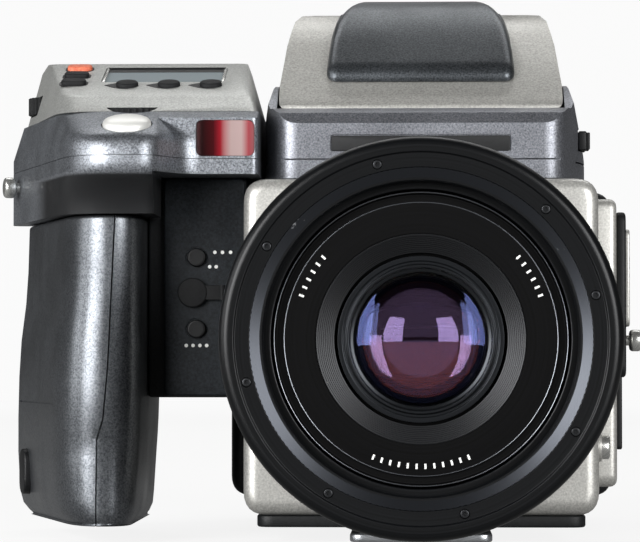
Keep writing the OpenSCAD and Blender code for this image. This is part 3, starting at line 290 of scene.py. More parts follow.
# %% Turned metal
ring_low, ring_high = box_mm("front_ring")
AXIS_Z = (ring_low.z + ring_high.z) / 2


def turned_metal(name, dark, light, metallic, roughness, line_mm=0.4, relief_mm=0.006, shine=0.5):
    """Anodised or bare turned metal with tool lines about the lens axis."""
    finish, tree, shader, place = new_finish(name)
    offset = add_node(tree, "ShaderNodeVectorMath", {0: place, 1: (0, 0, AXIS_Z * MM)},
                      operation="SUBTRACT")
    flat = add_node(tree, "ShaderNodeVectorMath", {0: offset.outputs[0], 1: (1, 0, 1)},
                    operation="MULTIPLY")
    radius = add_node(tree, "ShaderNodeVectorMath", {0: flat.outputs[0]}, operation="LENGTH")
    depth = add_node(tree, "ShaderNodeSeparateXYZ", {0: place})
    across = add_node(tree, "ShaderNodeMath", {0: radius.outputs["Value"], 1: depth.outputs["Y"]})
    lines = add_node(tree, "ShaderNodeTexNoise", {"W": across.outputs[0], "Scale": 1 / (line_mm * MM),
                                                  "Detail": 2.0}, noise_dimensions="1D")
    tint = add_node(tree, "ShaderNodeValToRGB", {"Fac": lines.outputs["Fac"]},
                    stops=[(0.35, dark), (0.65, light)])
    relief = add_node(tree, "ShaderNodeBump", {"Height": lines.outputs["Fac"], "Strength": 0.5,
                                               "Distance": relief_mm * MM})
    tree.links.new(tint.outputs["Color"], shader.inputs["Base Color"])
    tree.links.new(relief.outputs["Normal"], shader.inputs["Normal"])
    shader.inputs["Metallic"].default_value = metallic
    shader.inputs["Roughness"].default_value = roughness
    shader.inputs["Specular IOR Level"].default_value = shine
    return finish


# Hard anodised lens parts, near black with a dull sheen
black_anodised = turned_metal("black_anodised", "#070809", "#0f1012", 0.3, 0.32, shine=0.28)
# Deep black paint inside the lens, against stray light
matt_black = turned_metal("matt_black", "#030303", "#060607", 0.0, 0.5, line_mm=0.5, shine=0.06)
# Bright turned aluminium where the anodising is cut through, and on the foot
bare_aluminium = turned_metal("bare_aluminium", "#8b8e92", "#b3b5b8", 0.9, 0.3)
# Bright steel of screws, lugs and keys
bright_steel = turned_metal("bright_steel", "#b8b8b5", "#d4d4d0", 0.85, 0.26)
print("Turned metals: 4")

# %% [markdown]
# Glass, small marks and thin trim are too smooth or too small for a pattern, so they are plain. Each
# glass of a lens has a thin layer against reflections, which leaves a faint colour. That could be
# worked out from the layer's thickness, but a tinted reflection says the same with one value.

# %% Glass, marks and thin trim


def plain(name, code, roughness, **inputs):
    """Finish without a pattern; an underscore in an input's name stands for a space."""
    finish, tree, shader, place = new_finish(name)
    shader.inputs["Base Color"].default_value = colour(code)
    shader.inputs["Roughness"].default_value = roughness
    for label, value in inputs.items():
        shader.inputs[label.replace("_", " ")].default_value = value
    return finish


# Satin chrome of the shutter button
satin_chrome = plain("satin_chrome", "#d8d8d4", 0.42, Metallic=0.4)
# Black oxide steel of the small screws
dark_steel = plain("dark_steel", "#2b2c2e", 0.35, Metallic=0.8)
# Front glass: its antireflection layer leaves a faint blue reflection
front_coating = plain("front_coating", "#ffffff", 0.0, Transmission_Weight=1.0, IOR=1.4,
                      Specular_Tint=colour("#8f9ce8"))
# Second glass: a stronger lavender reflection
second_coating = plain("second_coating", "#fff6f4", 0.0, Transmission_Weight=1.0, IOR=1.6,
                       Specular_Tint=colour("#c0a8f0"))
# Rear glass: a red and amber reflection
rear_coating = plain("rear_coating", "#fff2f2", 0.0, Transmission_Weight=1.0, IOR=1.75,
                     Specular_Tint=colour("#b8604c"))
# Dark polished ring that holds the front glass
ring_metal = plain("ring_metal", "#26282b", 0.3, Metallic=0.85)
# Cut rings of the cone, a little brighter than the paint round them
cone_metal = plain("cone_metal", "#1c1d1f", 0.42, Metallic=0.6)
# Edges of the inner rings: a brighter metal that paints the highlights their edges catch
edge_highlight_metal = plain("edge_highlight_metal", "#6c6f74", 0.34, Metallic=0.9)
clear_glass = plain("clear_glass", "#eef4f5", 0.02, Transmission_Weight=1.0, IOR=1.5)
lcd_face = plain("lcd_face", "#8d989c", 0.2, Coat_Weight=0.6, Coat_Roughness=0.04)
display_glass = plain("display_glass", "#0a0b0d", 0.07, Coat_Weight=0.5, Coat_Roughness=0.02)
mirror_glass = plain("mirror_glass", "#dfe4e8", 0.02, Metallic=1.0)
white_paint = plain("white_paint", "#d9d9d6", 0.5)
sensor_glass = plain("sensor_glass", "#1d3a36", 0.08, Coat_Weight=1.0)
print("Glass and trim: 14")

# %% [markdown]
# The small red window covers the lamp that helps the camera to focus. Its curved glass shows an
# upright pale highlight right of the middle and is darker at the left. Both are painted: one ramp
# across the window draws the highlight as an upright pale band, and the shade at the left.

# %% Red window


def red_pane_painted_light():
    """Red glass with a painted highlight as an upright pale band right of the middle, and painted shade at
    the left.
    """
    finish, tree, shader, place = new_finish("red_glass_painted_sheen")
    low, high = box_mm("af_window")
    where = add_node(tree, "ShaderNodeSeparateXYZ", {0: place})
    share = add_node(tree, "ShaderNodeMapRange", {"Value": where.outputs["X"], "From Min": low.x * MM,
                                                  "From Max": high.x * MM})
    # The ramp's stops paint the shade at the left and the pale highlight right of the middle.
    tint = add_node(tree, "ShaderNodeValToRGB", {"Fac": share.outputs["Result"]},
                    stops=[(0.0, "#3a1d1f"), (1.0, "#7a4a4c"), (0.1, "#1a0708"), (0.3, "#380b0f"),
                           (0.42, "#7a1620"), (0.5, "#8f5f60"), (0.6, "#968280"), (0.78, "#9c8785"),
                           (0.9, "#8a3c42")])
    tree.links.new(tint.outputs["Color"], shader.inputs["Base Color"])
    shader.inputs["Roughness"].default_value = 0.06
    shader.inputs["Coat Weight"].default_value = 0.3
    return finish


red_glass_painted_sheen = red_pane_painted_light()
print("Materials in all:", len(bpy.data.materials))

# %% [markdown]
# ## Tools for shapes
# The camera's pieces are turned, drawn out of an outline, stretched over outlines like a hull, or
# milled. So there are four ways to make a shape here: turn an outline about the lens axis, draw an
# outline out along an axis, lay a skin over a row of outlines, and cut one shape out of another.
# Outlines come first, with their corner radii. An arc for each corner would do as well as this
# curve, but it needs the corner's angle, and at these radii the two look the same.

# %% Outlines
SEEN_ALONG = {"X": (1, 2), "Y": (0, 2), "Z": (0, 1)}
DEPTH = {"X": 0, "Y": 1, "Z": 2}


def rounded(points, radius, steps=4):
    """Closed outline with every corner rounded; one radius, or one for each corner."""
    count = len(points)
    radii = radius if isinstance(radius, (list, tuple)) else [radius] * count
    made = []
    for i, point in enumerate(points):
        corner = Vector(point)
        before, after = Vector(points[i - 1]) - corner, Vector(points[(i + 1) % count]) - corner
        if radii[i] < 0.01:
            made.append(corner)
            continue
        start = corner + before * min(radii[i] / before.length, 0.48)
        end = corner + after * min(radii[i] / after.length, 0.48)
        for k in range(steps + 1):
            t = k / steps
            made.append(start * (1 - t) ** 2 + corner * 2 * t * (1 - t) + end * t ** 2)
    return [tuple(p) for p in made]


def oblong(x0, x1, y0, y1, radius, steps=6):
    """Rectangle between two corners, with rounded corners."""
    return rounded([(x0, y0), (x1, y0), (x1, y1), (x0, y1)], radius, steps)


def view_of(low, high, axis, radius, inset=0.0, steps=6):
    """Rounded rectangle of a box seen along an axis, drawn in, or out if the inset is below zero."""
    a, b = SEEN_ALONG[axis]
    return oblong(low[a] + inset, high[a] - inset, low[b] + inset, high[b] - inset, radius, steps)


def round_view(node, axis):
    """Centre and radius of a round CAD node seen along an axis."""
    low, high = box_mm(node)
    a, b = SEEN_ALONG[axis]
    return ((low[a] + high[a]) / 2, (low[b] + high[b]) / 2), (high[a] - low[a]) / 2


def ring_points(centre, radius, count=48):
    """Points of a circle."""
    turns = [2 * math.pi * i / count for i in range(count)]
    return [(centre[0] + radius * math.cos(a), centre[1] + radius * math.sin(a)) for a in turns]


def toothed(centre, radius, depth, count, start=0.0):
    """Outline of a ribbed ring or a knurled wheel: flat tips and flat gaps by turns."""
    points = []
    for i in range(count):
        for k, r in enumerate([radius, radius, radius - depth, radius - depth]):
            a = 2 * math.pi * (i + start + k / 4) / count
            points.append((centre[0] + r * math.cos(a), centre[1] + r * math.sin(a)))
    return points


print("Outlines ready")

# %% [markdown]
# A solid shape starts from such outlines. The rim of a drawn shape is bevelled, because a moulded or
# cast edge is never sharp and catches the light. A skin bridges one outline to the next, which suits
# the grip, the collar and the flash cover: they swell and lean in ways that no cut gives.

# %% Solid shapes
PLACE = {"X": lambda p, h: (h, p[0], p[1]), "Y": lambda p, h: (p[0], h, p[1]),
         "Z": lambda p, h: (p[0], p[1], h)}


def prism(outline, axis, low, high, edge=0.0, segments=3):
    """Outline drawn out along an axis from low to high, with both rims rounded."""
    bm = bmesh.new()
    face = bm.faces.new([bm.verts.new(PLACE[axis](p, low)) for p in outline])
    grown = bmesh.ops.extrude_face_region(bm, geom=[face])["geom"]
    top = [v for v in grown if isinstance(v, bmesh.types.BMVert)]
    bmesh.ops.translate(bm, vec=PLACE[axis]((0, 0), high - low), verts=top)
    if edge:
        caps = [f for f in bm.faces if len(f.verts) == len(outline)]
        rims = [e for f in caps for e in f.edges]
        bmesh.ops.bevel(bm, geom=rims, offset=edge, segments=segments, profile=0.5, affect="EDGES",
                        material=-1, clamp_overlap=True)
    return bm


def slab(low, high, axis, radius, edge=0.0, segments=3, steps=6):
    """Box between two corners, with rounded corners as seen along an axis."""
    return prism(view_of(low, high, axis, radius, steps=steps), axis, low[DEPTH[axis]],
                 high[DEPTH[axis]], edge, segments)


def brick(x0, x1, y0, y1, z0, z1, edge=0.0):
    """Block between two corners."""
    bm = prism([(x0, y0), (x1, y0), (x1, y1), (x0, y1)], "Z", z0, z1)
    if edge:
        bmesh.ops.bevel(bm, geom=bm.edges[:], offset=edge, segments=3, profile=0.5, affect="EDGES",
                        material=-1)
    return bm


def rod(axis, centre, low, high, radius, edge=0.0, count=48):
    """Cylinder along an axis."""
    return prism(ring_points(centre, radius, count), axis, low, high, edge)


def skin(rings, endless=False):
    """Skin over rings of points, with both ends closed, or with the last ring led to the first."""
    bm = bmesh.new()
    rows = [[bm.verts.new(point) for point in ring] for ring in rings]
    for here, there in zip(rows, rows[1:] + rows[:1] if endless else rows[1:]):
        for i in range(len(here)):
            bm.faces.new((here[i - 1], here[i], there[i], there[i - 1]))
    if not endless:
        bm.faces.new(rows[0])
        bm.faces.new(rows[-1])
    return bm


def loft(sections):
    """Skin over outlines at rising heights."""
    return skin([[(x, y, z) for x, y in outline] for z, outline in sections])


def lathe(profile, closed=True, steps=128):
    """Outline of (radius, y) turned about the lens axis."""
    bm = bmesh.new()
    verts = [bm.verts.new((r, y, AXIS_Z)) for r, y in profile]
    for a, b in zip(verts, verts[1:] + verts[:1] if closed else verts[1:]):
        bm.edges.new((a, b))
    bmesh.ops.spin(bm, geom=bm.verts[:] + bm.edges[:], cent=(0, 0, AXIS_Z), axis=(0, 1, 0),
                   angle=2 * math.pi, steps=steps, use_merge=True)
    bmesh.ops.remove_doubles(bm, verts=bm.verts, dist=0.0005)
    return bm


print("Solid shapes ready")

# %% [markdown]
# Shapes are milled with Boolean modifiers, which are read out as a finished mesh at once. After
# that, every edge that is still sharp can be rounded in one go.

# %% Combining and finishing


def combine(bm, tools, how="DIFFERENCE"):
    """Cuts shapes out of a shape, or keeps what they share; all of them are used up."""
    made = []
    for shape in [bm] + tools:
        bmesh.ops.recalc_face_normals(shape, faces=shape.faces)
        mesh = bpy.data.meshes.new("shape")
        shape.to_mesh(mesh)
        shape.free()
        made.append(bpy.data.objects.new("shape", mesh))
        bpy.context.scene.collection.objects.link(made[-1])
    for tool in made[1:]:
        step = made[0].modifiers.new("combine", "BOOLEAN")
        step.operation = how
        step.object = tool
        step.solver = "EXACT"
    result = bmesh.new()
    result.from_object(made[0], bpy.context.evaluated_depsgraph_get())
    for obj in made:
        mesh = obj.data
        bpy.data.objects.remove(obj)
        bpy.data.meshes.remove(mesh)
    return result


def soften(bm, width, segments=3, sharper_than=20):
    """Rounds every edge that is sharper than an angle."""
    bmesh.ops.dissolve_limit(bm, angle_limit=math.radians(1), verts=bm.verts, edges=bm.edges)
    sharp = [e for e in bm.edges if e.is_manifold
             and e.calc_face_angle() > math.radians(sharper_than)]
    bmesh.ops.bevel(bm, geom=sharp, offset=width, segments=segments, profile=0.5, affect="EDGES",
                    material=-1, clamp_overlap=True)
    return bm


def gather(shapes):
    """Several shapes in one mesh."""
    whole = bmesh.new()
    for shape in shapes:
        mesh = bpy.data.meshes.new("shape")
        shape.to_mesh(mesh)
        shape.free()
        whole.from_mesh(mesh)
        bpy.data.meshes.remove(mesh)
    return whole


def piece(bm, name, finish, replaces=(), body="camera", smooth_to=32):
    """Turns a shape into a piece of the camera: in metres, outward faces, on its body."""
    bmesh.ops.remove_doubles(bm, verts=bm.verts, dist=0.0005)
    bmesh.ops.recalc_face_normals(bm, faces=bm.faces)
    bmesh.ops.scale(bm, vec=(MM, MM, MM), verts=bm.verts)
    mesh = bpy.data.meshes.new(name)
    bm.to_mesh(mesh)
    bm.free()
    mesh.materials.append(finish)
    mesh.shade_smooth()
    mesh.set_sharp_from_angle(angle=math.radians(smooth_to))
    obj = bpy.data.objects.new(name, mesh)
    bpy.context.scene.collection.objects.link(obj)
    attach(obj, body)
    if replaces:
        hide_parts(*replaces)
    return obj


print("Tools ready")

# %% [markdown]
# ## The lens
# The lens is a stack of turned aluminium tubes. The wide front ring is held by eight small screws in
# a sunk face, and inside it is the filter thread. A turned piece is one outline spun about the axis.
# The thread is a row of closed ridges in that outline: a helix would have to be a skin of its own,
# and at this size nobody can tell the two apart.

# %% Front ring
OVER = 1
FRONT_Y, FRONT_BACK_Y = ring_low.y, ring_high.y
FRONT_R = (ring_high.x - ring_low.x) / 2
FACE_Y = FRONT_Y + 0.6
RIM_R = 38.9
BAND_R = 35.7
THREAD_R = 33.1
THREAD_Y = FRONT_Y + 1.5
THREAD_END_Y = THREAD_Y + 4.6
THREAD_PITCH, THREAD_TURNS, RIDGE = 0.75, 6, 0.28
FRONT_BORE_R = 31.38

thread = []
for turn in range(THREAD_TURNS):
    y = THREAD_Y + 0.1 + turn * THREAD_PITCH
    thread += [(THREAD_R, y), (THREAD_R - RIDGE, y + THREAD_PITCH / 2)]
outer = rounded([(FRONT_BORE_R, FRONT_BACK_Y), (38.6, FRONT_BACK_Y), (41.2, FRONT_BACK_Y - 3.5),
                 (FRONT_R, FRONT_BACK_Y - 6), (FRONT_R, FRONT_Y + 1.4), (FRONT_R - 1.3, FRONT_Y),
                 (RIM_R, FRONT_Y), (RIM_R - 0.15, FACE_Y), (BAND_R, FACE_Y), (BAND_R - 0.1, FACE_Y + 0.6),
                 (THREAD_R + 0.4, THREAD_Y + 0.05)],
                [0.3, 0.4, 1.5, 1.5, 1.0, 0.8, 0.25, 0.2, 0.1, 0.1, 0.0])
inner = rounded([(THREAD_R, THREAD_END_Y), (FRONT_BORE_R, THREAD_END_Y),
                 (FRONT_BORE_R, FRONT_BACK_Y - 9)], [0.1, 0.3, 0.0])
ring = lathe(outer + thread + inner)

SCREW_ANGLES = [14, 46, 104, 149, 194, 239, 284, 329]
SCREW_PCD_R = 37.3
SCREW_R, SCREW_FIT, HEX_R = 0.95, 0.12, 0.5
screw_turns = [math.radians(a) for a in SCREW_ANGLES]
screw_places = [(SCREW_PCD_R * math.cos(a), AXIS_Z + SCREW_PCD_R * math.sin(a)) for a in screw_turns]


def at_screws(front, rear, radius, edge=0.0, count=24):
    """The same rod at each screw of the front ring."""
    return gather([rod("Y", at, front, rear, radius, edge, count) for at in screw_places])


pockets = at_screws(FACE_Y - OVER, FACE_Y + 0.9, SCREW_R + SCREW_FIT)
piece(combine(ring, [pockets]), "front_ring_turned", black_anodised, ["front_ring"])
heads = at_screws(FACE_Y + 0.02, FACE_Y + 0.85, SCREW_R, edge=0.2)
hexes = at_screws(FACE_Y - OVER, FACE_Y + 0.5, HEX_R, count=6)
piece(combine(heads, [hexes]), "ring_screw_heads", dark_steel, ["ring_screws"])
print("Front ring:", len(screw_places), "screws,", THREAD_TURNS, "thread ridges")

# %% [markdown]
# A chamfer leads into the thread. It is cut last, with a slightly chattering tool, so it is a ring of
# its own here, with a fine toothed outer edge and a few bare spots. A spin can't give teeth, so four
# rings of points are bridged instead. The bare spots come from noise, with a steep step in its ramp.

# %% Toothed chamfer
KNOCK_MM = 9


def worn_chamfer():
    """Dark cut aluminium; coarse noise marks the few places where the edge was knocked bare."""
    finish, tree, shader, place = new_finish("worn_chamfer")
    knocks = add_node(tree, "ShaderNodeTexNoise", {"Vector": place, "Scale": 1 / (KNOCK_MM * MM),
                                                   "Detail": 5.0, "Roughness": 0.65})
    tint = add_node(tree, "ShaderNodeValToRGB", {"Fac": knocks.outputs["Fac"]},
                    stops=[(0.66, "#303236"), (0.72, "#c9ccd0")])
    tree.links.new(tint.outputs["Color"], shader.inputs["Base Color"])
    shader.inputs["Metallic"].default_value = 0.9
    shader.inputs["Roughness"].default_value = 0.32
    return finish


TEETH = 180
CHAMFER_IN_R = THREAD_R + 0.45
CHAMFER_RINGS = [(BAND_R - 0.05, FACE_Y - 0.04, 0.12), (CHAMFER_IN_R, THREAD_Y, 0.0),
                 (CHAMFER_IN_R + 0.2, THREAD_Y + 0.3, 0.0), (BAND_R - 0.3, FACE_Y + 0.3, 0.0)]


def chamfer_ring(radius, y, bite):
    """Ring of points, of which every second one lies deeper by the tool's bite."""
    points = []
    for i in range(2 * TEETH):
        a = math.pi * i / TEETH
        r = radius - bite * (i % 2)
        points.append((r * math.cos(a), y, AXIS_Z + r * math.sin(a)))
    return points


chamfer = skin([chamfer_ring(*ring) for ring in CHAMFER_RINGS], endless=True)
piece(chamfer, "filter_chamfer", worn_chamfer())
print("Chamfer:", TEETH, "teeth")

# %% [markdown]
# Behind the filter thread lies a flat ring. The cone inside it is cut with sharp rings that throw
# stray light outward, away from the glass, and it moves with the glass when the lens is focused. Both
# are spins. The highlights that the ring's edges catch are painted as two thin bright hoops, because
# a brighter finish on a few faces would have a hard border.

# %% Flat ring and ridged cone
name_low, name_high = box_mm("name_ring")
NAME_Y = name_low.y
NAME_R = (name_high.x - name_low.x) / 2
STEP_R = 28.65
STEP_D = 0.6
CONE_R = 22.0
CONE_IN_R = 18.3
CONE_L = 4.9
CONE_RIDGES = 10
HOOP_R = 0.11

cone = []
for i in range(CONE_RIDGES):
    share = (i + 1) / CONE_RIDGES
    r = CONE_R - (CONE_R - CONE_IN_R) * share
    y = NAME_Y + CONE_L * share
    cone += [(r + 0.28, y - 0.12), (r, y)]
flat = rounded([(NAME_R, NAME_Y + 1.2), (NAME_R, NAME_Y), (NAME_R - 0.4, NAME_Y),
                (NAME_R - 0.6, NAME_Y + STEP_D), (STEP_R + 0.2, NAME_Y + STEP_D), (STEP_R, NAME_Y),
                (CONE_R + 0.1, NAME_Y)], [0.0, 0.15, 0.1, 0.1, 0.1, 0.1, 0.15])
cone_back = [(CONE_IN_R + 1, NAME_Y + CONE_L + 0.2), (CONE_R + 2.5, NAME_Y + 1.2)]
piece(lathe(flat + [(CONE_R + 0.1, NAME_Y + 0.3), cone_back[1]]), "flat_ring", matt_black,
      ["name_ring"], "lens_cell", smooth_to=20)
piece(lathe(cone + cone_back), "ridged_cone", cone_metal, body="lens_cell", smooth_to=20)

# Two thin bright hoops: painted highlights on the ring's edges.
hoops = [lathe(ring_points((radius, y), HOOP_R, 8))
         for radius, y in [(NAME_R - 0.15, NAME_Y + 0.02), (STEP_R, NAME_Y + 0.04)]]
piece(gather(hoops), "ring_edge_highlights", edge_highlight_metal, body="lens_cell")
print("Cone ridges:", CONE_RIDGES)

# %% [markdown]
# The flat ring carries short white ticks, printed on a real lens. A picture on the ring would do, but
# thin blocks that stand out by a hair stay sharp at any size. The stepped ring that holds the front
# glass is spun too.

# %% Ticks and retaining ring
TICK_R, TICK_L, TICK_W = 26.6, 1.1, 0.44
TICK_STEP = 4
TICK_RUNS = [(20, 42), (140, 162), (248, 296)]
ticks = []
for angle in [a for run in TICK_RUNS for a in range(*run, TICK_STEP)]:
    tick = brick(TICK_R - TICK_L / 2, TICK_R + TICK_L / 2, NAME_Y - 0.03, NAME_Y + 0.05, -TICK_W / 2,
                 TICK_W / 2)
    bmesh.ops.rotate(tick, matrix=Matrix.Rotation(-math.radians(angle), 3, "Y"), verts=tick.verts)
    bmesh.ops.translate(tick, vec=(0, 0, AXIS_Z), verts=tick.verts)
    ticks.append(tick)
piece(gather(ticks), "white_ticks", white_paint, body="lens_cell")

HOLDER_Y = NAME_Y + CONE_L + 0.3
HOLDER_R = 17.6
GLASS_EDGE_R = 14.25
holder = rounded([(HOLDER_R, HOLDER_Y - 0.02), (HOLDER_R, HOLDER_Y - 0.45), (16.6, HOLDER_Y - 0.45),
                  (16.4, HOLDER_Y - 0.2), (15.9, HOLDER_Y - 0.2), (15.7, HOLDER_Y - 0.95),
                  (15.2, HOLDER_Y - 0.95), (14.9, HOLDER_Y - 0.35), (GLASS_EDGE_R, HOLDER_Y - 0.1),
                  (GLASS_EDGE_R, HOLDER_Y - 0.02)], 0.12, 3)
piece(lathe(holder), "retaining_ring", ring_metal, body="lens_cell")
print("Ticks:", len(ticks))

# %% [markdown]
# Each glass is a turned piece too. Only the curvature of the front glass shows directly; the two
# glasses behind it add the coloured reflections that make a coated lens look deep. A real lens has
# more of them, but more would only make it dimmer here.

# %% Glasses


def bowl(radius, curve, y, count=20):
    """Points of a spherical surface from the axis to its edge; a negative curve is hollow."""
    points = []
    for i in range(count + 1):
        r = radius * i / count
        points.append((r, y + (curve - math.copysign(math.sqrt(curve * curve - r * r), curve))))
    return points


def glass_element(name, finish, radius, front_curve, front_y, back_curve, back_y, replaces=()):
    """One lens element between two spherical surfaces."""
    profile = bowl(radius, front_curve, front_y) + bowl(radius, back_curve, back_y)[::-1]
    piece(lathe(profile, closed=False, steps=96), name, finish, replaces, "lens_cell", 60)


glass_low, glass_high = box_mm("lens_glass")
GLASS_R = (glass_high.x - glass_low.x) / 2
glass_element("front_glass", front_coating, GLASS_R, 52, glass_low.y, 46, glass_low.y + 4.2, ["lens_glass"])
glass_element("second_glass", second_coating, 12.6, 18, glass_low.y + 5.0, 200, glass_low.y + 12)
glass_element("rear_glass", rear_coating, 12.0, -60, glass_high.y - 3.2, -44, glass_high.y - 2.2)
print("Glass elements: 3")

# %% [markdown]
# The focus ring is a rubber band with ribs for the fingers. Its outline is a toothed circle with
# the tips rounded, drawn out along the axis. An array of ribs would do as well, but it would leave
# each rib's foot inside the ring. The plain barrel behind it carries the lens on the body.

# %% Focus ring and barrel
focus_low, focus_high = box_mm("focus_ring")
FOCUS_R = (focus_high.x - focus_low.x) / 2
RIBS = 72
RIB_D = 0.8
SLEEVE_R = 35.2
ribs = toothed((0, AXIS_Z), FOCUS_R - 0.1, RIB_D, RIBS, start=0.12)
ribbed = prism(rounded(ribs, 0.3, 2), "Y", focus_low.y, focus_high.y, edge=0.35, segments=2)
sleeve_bore = rod("Y", (0, AXIS_Z), focus_low.y - OVER, focus_high.y + OVER, SLEEVE_R, count=96)
piece(combine(ribbed, [sleeve_bore]), "focus_grip", black_rubber, ["focus_ring"], "focus_ring")

barrel_low, barrel_high = box_mm("lens_barrel")
BARREL_R = (barrel_high.x - barrel_low.x) / 2
BARREL_FRONT_Y = focus_high.y + 0.3
FLANGE_Y = -28.0
GROOVE_Y, GROOVE_D = -33.0, 0.4
BAYONET_R, BAYONET_IN_R = 27.2, 24.5
INNER_TUBE_R, INNER_TUBE_IN_R = 35.08, 31.08
SHELF_Y = -33.7
tube = rounded([(BAYONET_IN_R, barrel_high.y), (BAYONET_R, barrel_high.y), (BAYONET_R, FLANGE_Y - 0.05),
                (34.6, FLANGE_Y - 0.05), (BARREL_R, FLANGE_Y - 1.5), (BARREL_R, GROOVE_Y),
                (BARREL_R - GROOVE_D, GROOVE_Y - 0.3), (BARREL_R - GROOVE_D, GROOVE_Y - 1.2),
                (BARREL_R, GROOVE_Y - 1.5), (BARREL_R, BARREL_FRONT_Y), (INNER_TUBE_R, BARREL_FRONT_Y),
                (INNER_TUBE_R, FRONT_BACK_Y + 0.02), (INNER_TUBE_IN_R, FRONT_BACK_Y + 0.02),
                (INNER_TUBE_IN_R, SHELF_Y), (BAYONET_IN_R, SHELF_Y)],
               [0.1, 0.1, 0.1, 0.3, 0.5, 0.1, 0.1, 0.1, 0.1, 0.4, 0.1, 0.1, 0.1, 0.1, 0.1], 3)
piece(lathe(tube), "barrel_tube", black_anodised, ["lens_barrel"])
print("Focus ring ribs:", RIBS)

# %% [markdown]
# ## The body
# The front shell is a light alloy casting with generous radii, because a casting needs them and the
# hand likes them. It is drawn out from front to back, joined with the cheek at the right side and
# the little boss of the lens release, and then milled: the mirror box, the lens mount, the opening
# to the finder and the bore of the release button. A subdivided box could be as round, but its faces
# would never be quite flat.

# %% Shell of the body
shell_low, shell_high = box_mm("body_shell")
BODY_SIDE, CHEEK_SIDE = -shell_low.x, shell_high.x
BODY_FRONT, BODY_BACK = shell_low.y, shell_high.y
BODY_BOT, BODY_TOP = shell_low.z, shell_high.z
CHEEK_FRONT = BODY_FRONT + 15
RELEASE_AT, RELEASE_R = round_view("release_button", "X")
WALL = 3.0
THROAT_R = 35.05
WELL_SIDE, WELL_END = 27, 8
KEY_FIT = 0.08


def finder_well(low, high):
    """Opening between the mirror box and the finder."""
    return brick(-WELL_SIDE, WELL_SIDE, BODY_FRONT + WELL_END, BODY_BACK - WELL_END, low, high)


shell = prism(oblong(-BODY_SIDE, BODY_SIDE, BODY_BOT, BODY_TOP, 5.5), "Y", BODY_FRONT, BODY_BACK,
              edge=3.0, segments=6)
cheek = prism(oblong(CHEEK_FRONT, BODY_BACK, BODY_BOT + 6, BODY_TOP - 4, 3), "X", BODY_SIDE - WALL,
              CHEEK_SIDE, edge=1.6, segments=4)
boss = rod("X", RELEASE_AT, BODY_SIDE - OVER, BODY_SIDE + 0.8, RELEASE_R + 0.55, edge=0.25)
cavity = brick(WALL - BODY_SIDE, BODY_SIDE - WALL, BODY_FRONT + WALL, BODY_BACK + 5, BODY_BOT + WALL,
               BODY_TOP - WALL)
throat = rod("Y", (0, AXIS_Z), BODY_FRONT - OVER, BODY_FRONT + WALL + OVER, THROAT_R, count=96)
well = finder_well(BODY_TOP - WALL - OVER, BODY_TOP + OVER)
release_bore = rod("X", RELEASE_AT, BODY_SIDE - WALL - OVER, BODY_SIDE + 2, RELEASE_R + KEY_FIT)
shell = combine(combine(shell, [cheek, boss], "UNION"), [cavity, throat, well, release_bore])
piece(shell, "cast_shell", silver_lacquer, ["body_shell"])
button_low, button_high = box_mm("release_button")
piece(rod("X", RELEASE_AT, button_low.x, button_high.x, RELEASE_R, edge=0.55), "release_key",
      bright_steel, ["release_button"], "release_button")
print("Shell:", [round(v) for v in (2 * BODY_SIDE, BODY_BACK - BODY_FRONT, BODY_TOP - BODY_BOT)], "mm")

# %% [markdown]
# Under the shell sit a dark base plate and the quick coupling foot with its two tripod threads. The
# foot is a wide flange on a narrower neck, so that a clamp can grip it. Both are drawn out upward,
# joined, and bored through. The threads stay plain bores, because only a screw would see them.

# %% Base and foot
base_low, base_high = box_mm("base_plate")
piece(slab(base_low, base_high, "Z", 4, edge=0.5), "base_tray", black_nylon, ["base_plate"])
foot_low, foot_high = box_mm("tripod_foot")
FOOT_TOP, FOOT_FLANGE, NECK_IN = base_low.z, 2.0, 2.2
SOCKET_R, SMALL_SOCKET_R, SOCKET_PITCH = 4.0, 2.55, 15
FOOT_SCREW_X, FOOT_SCREW_IN, FOOT_SCREW_R = 12.5, 5, 2.45


def foot_bore(x, y, radius, count=48):
    """Bore through the whole foot."""
    return rod("Z", (x, y), -OVER, FOOT_TOP + OVER, radius, count=count)


foot = prism(view_of(foot_low, foot_high, "Z", 3), "Z", 0, FOOT_FLANGE, edge=0.5)
neck = prism(view_of(foot_low, foot_high, "Z", 2, NECK_IN), "Z", FOOT_FLANGE / 2, FOOT_TOP)
foot_bores = [foot_bore(0, 0, SOCKET_R), foot_bore(0, SOCKET_PITCH, SMALL_SOCKET_R)]
for x in (-FOOT_SCREW_X, FOOT_SCREW_X):
    for y in (foot_low.y + FOOT_SCREW_IN, BODY_BACK - FOOT_SCREW_IN):
        foot_bores.append(foot_bore(x, y, FOOT_SCREW_R, 32))
piece(combine(combine(foot, [neck], "UNION"), foot_bores), "coupling_foot", bare_aluminium,
      ["tripod_foot"])
print("Foot:", len(foot_bores), "bores")

# %% [markdown]
# The right side has a dark cover with a thin silver plate on it and a knob for the strap. The knob
# has a twin on the collar, so one function makes both. They become one piece when the collar is done.

# %% Side cover and strap knob
side_low, side_high = box_mm("side_cover")
COVER_X, COVER_OUT = side_low.x, side_low.x + 2.3
COVER_Z = side_high.z - 39
panel = prism(oblong(CHEEK_FRONT + 2, BODY_BACK - 6, COVER_Z, side_high.z, 3), "X", COVER_X, COVER_OUT,
              edge=0.7)
strip = prism(oblong(CHEEK_FRONT + 4, BODY_BACK - 8, COVER_Z - 17, COVER_Z + 3, 1), "X", COVER_X,
              COVER_OUT - 0.9, edge=0.4)
piece(gather([panel, strip]), "side_panel", black_nylon, ["side_cover"])
side_plate = prism(oblong(CHEEK_FRONT + 4, BODY_BACK - 9, COVER_Z + 12, side_high.z - 4, 2), "X",
                   COVER_OUT - 0.2, side_high.x, edge=0.3)
piece(side_plate, "side_plate", silver_lacquer)


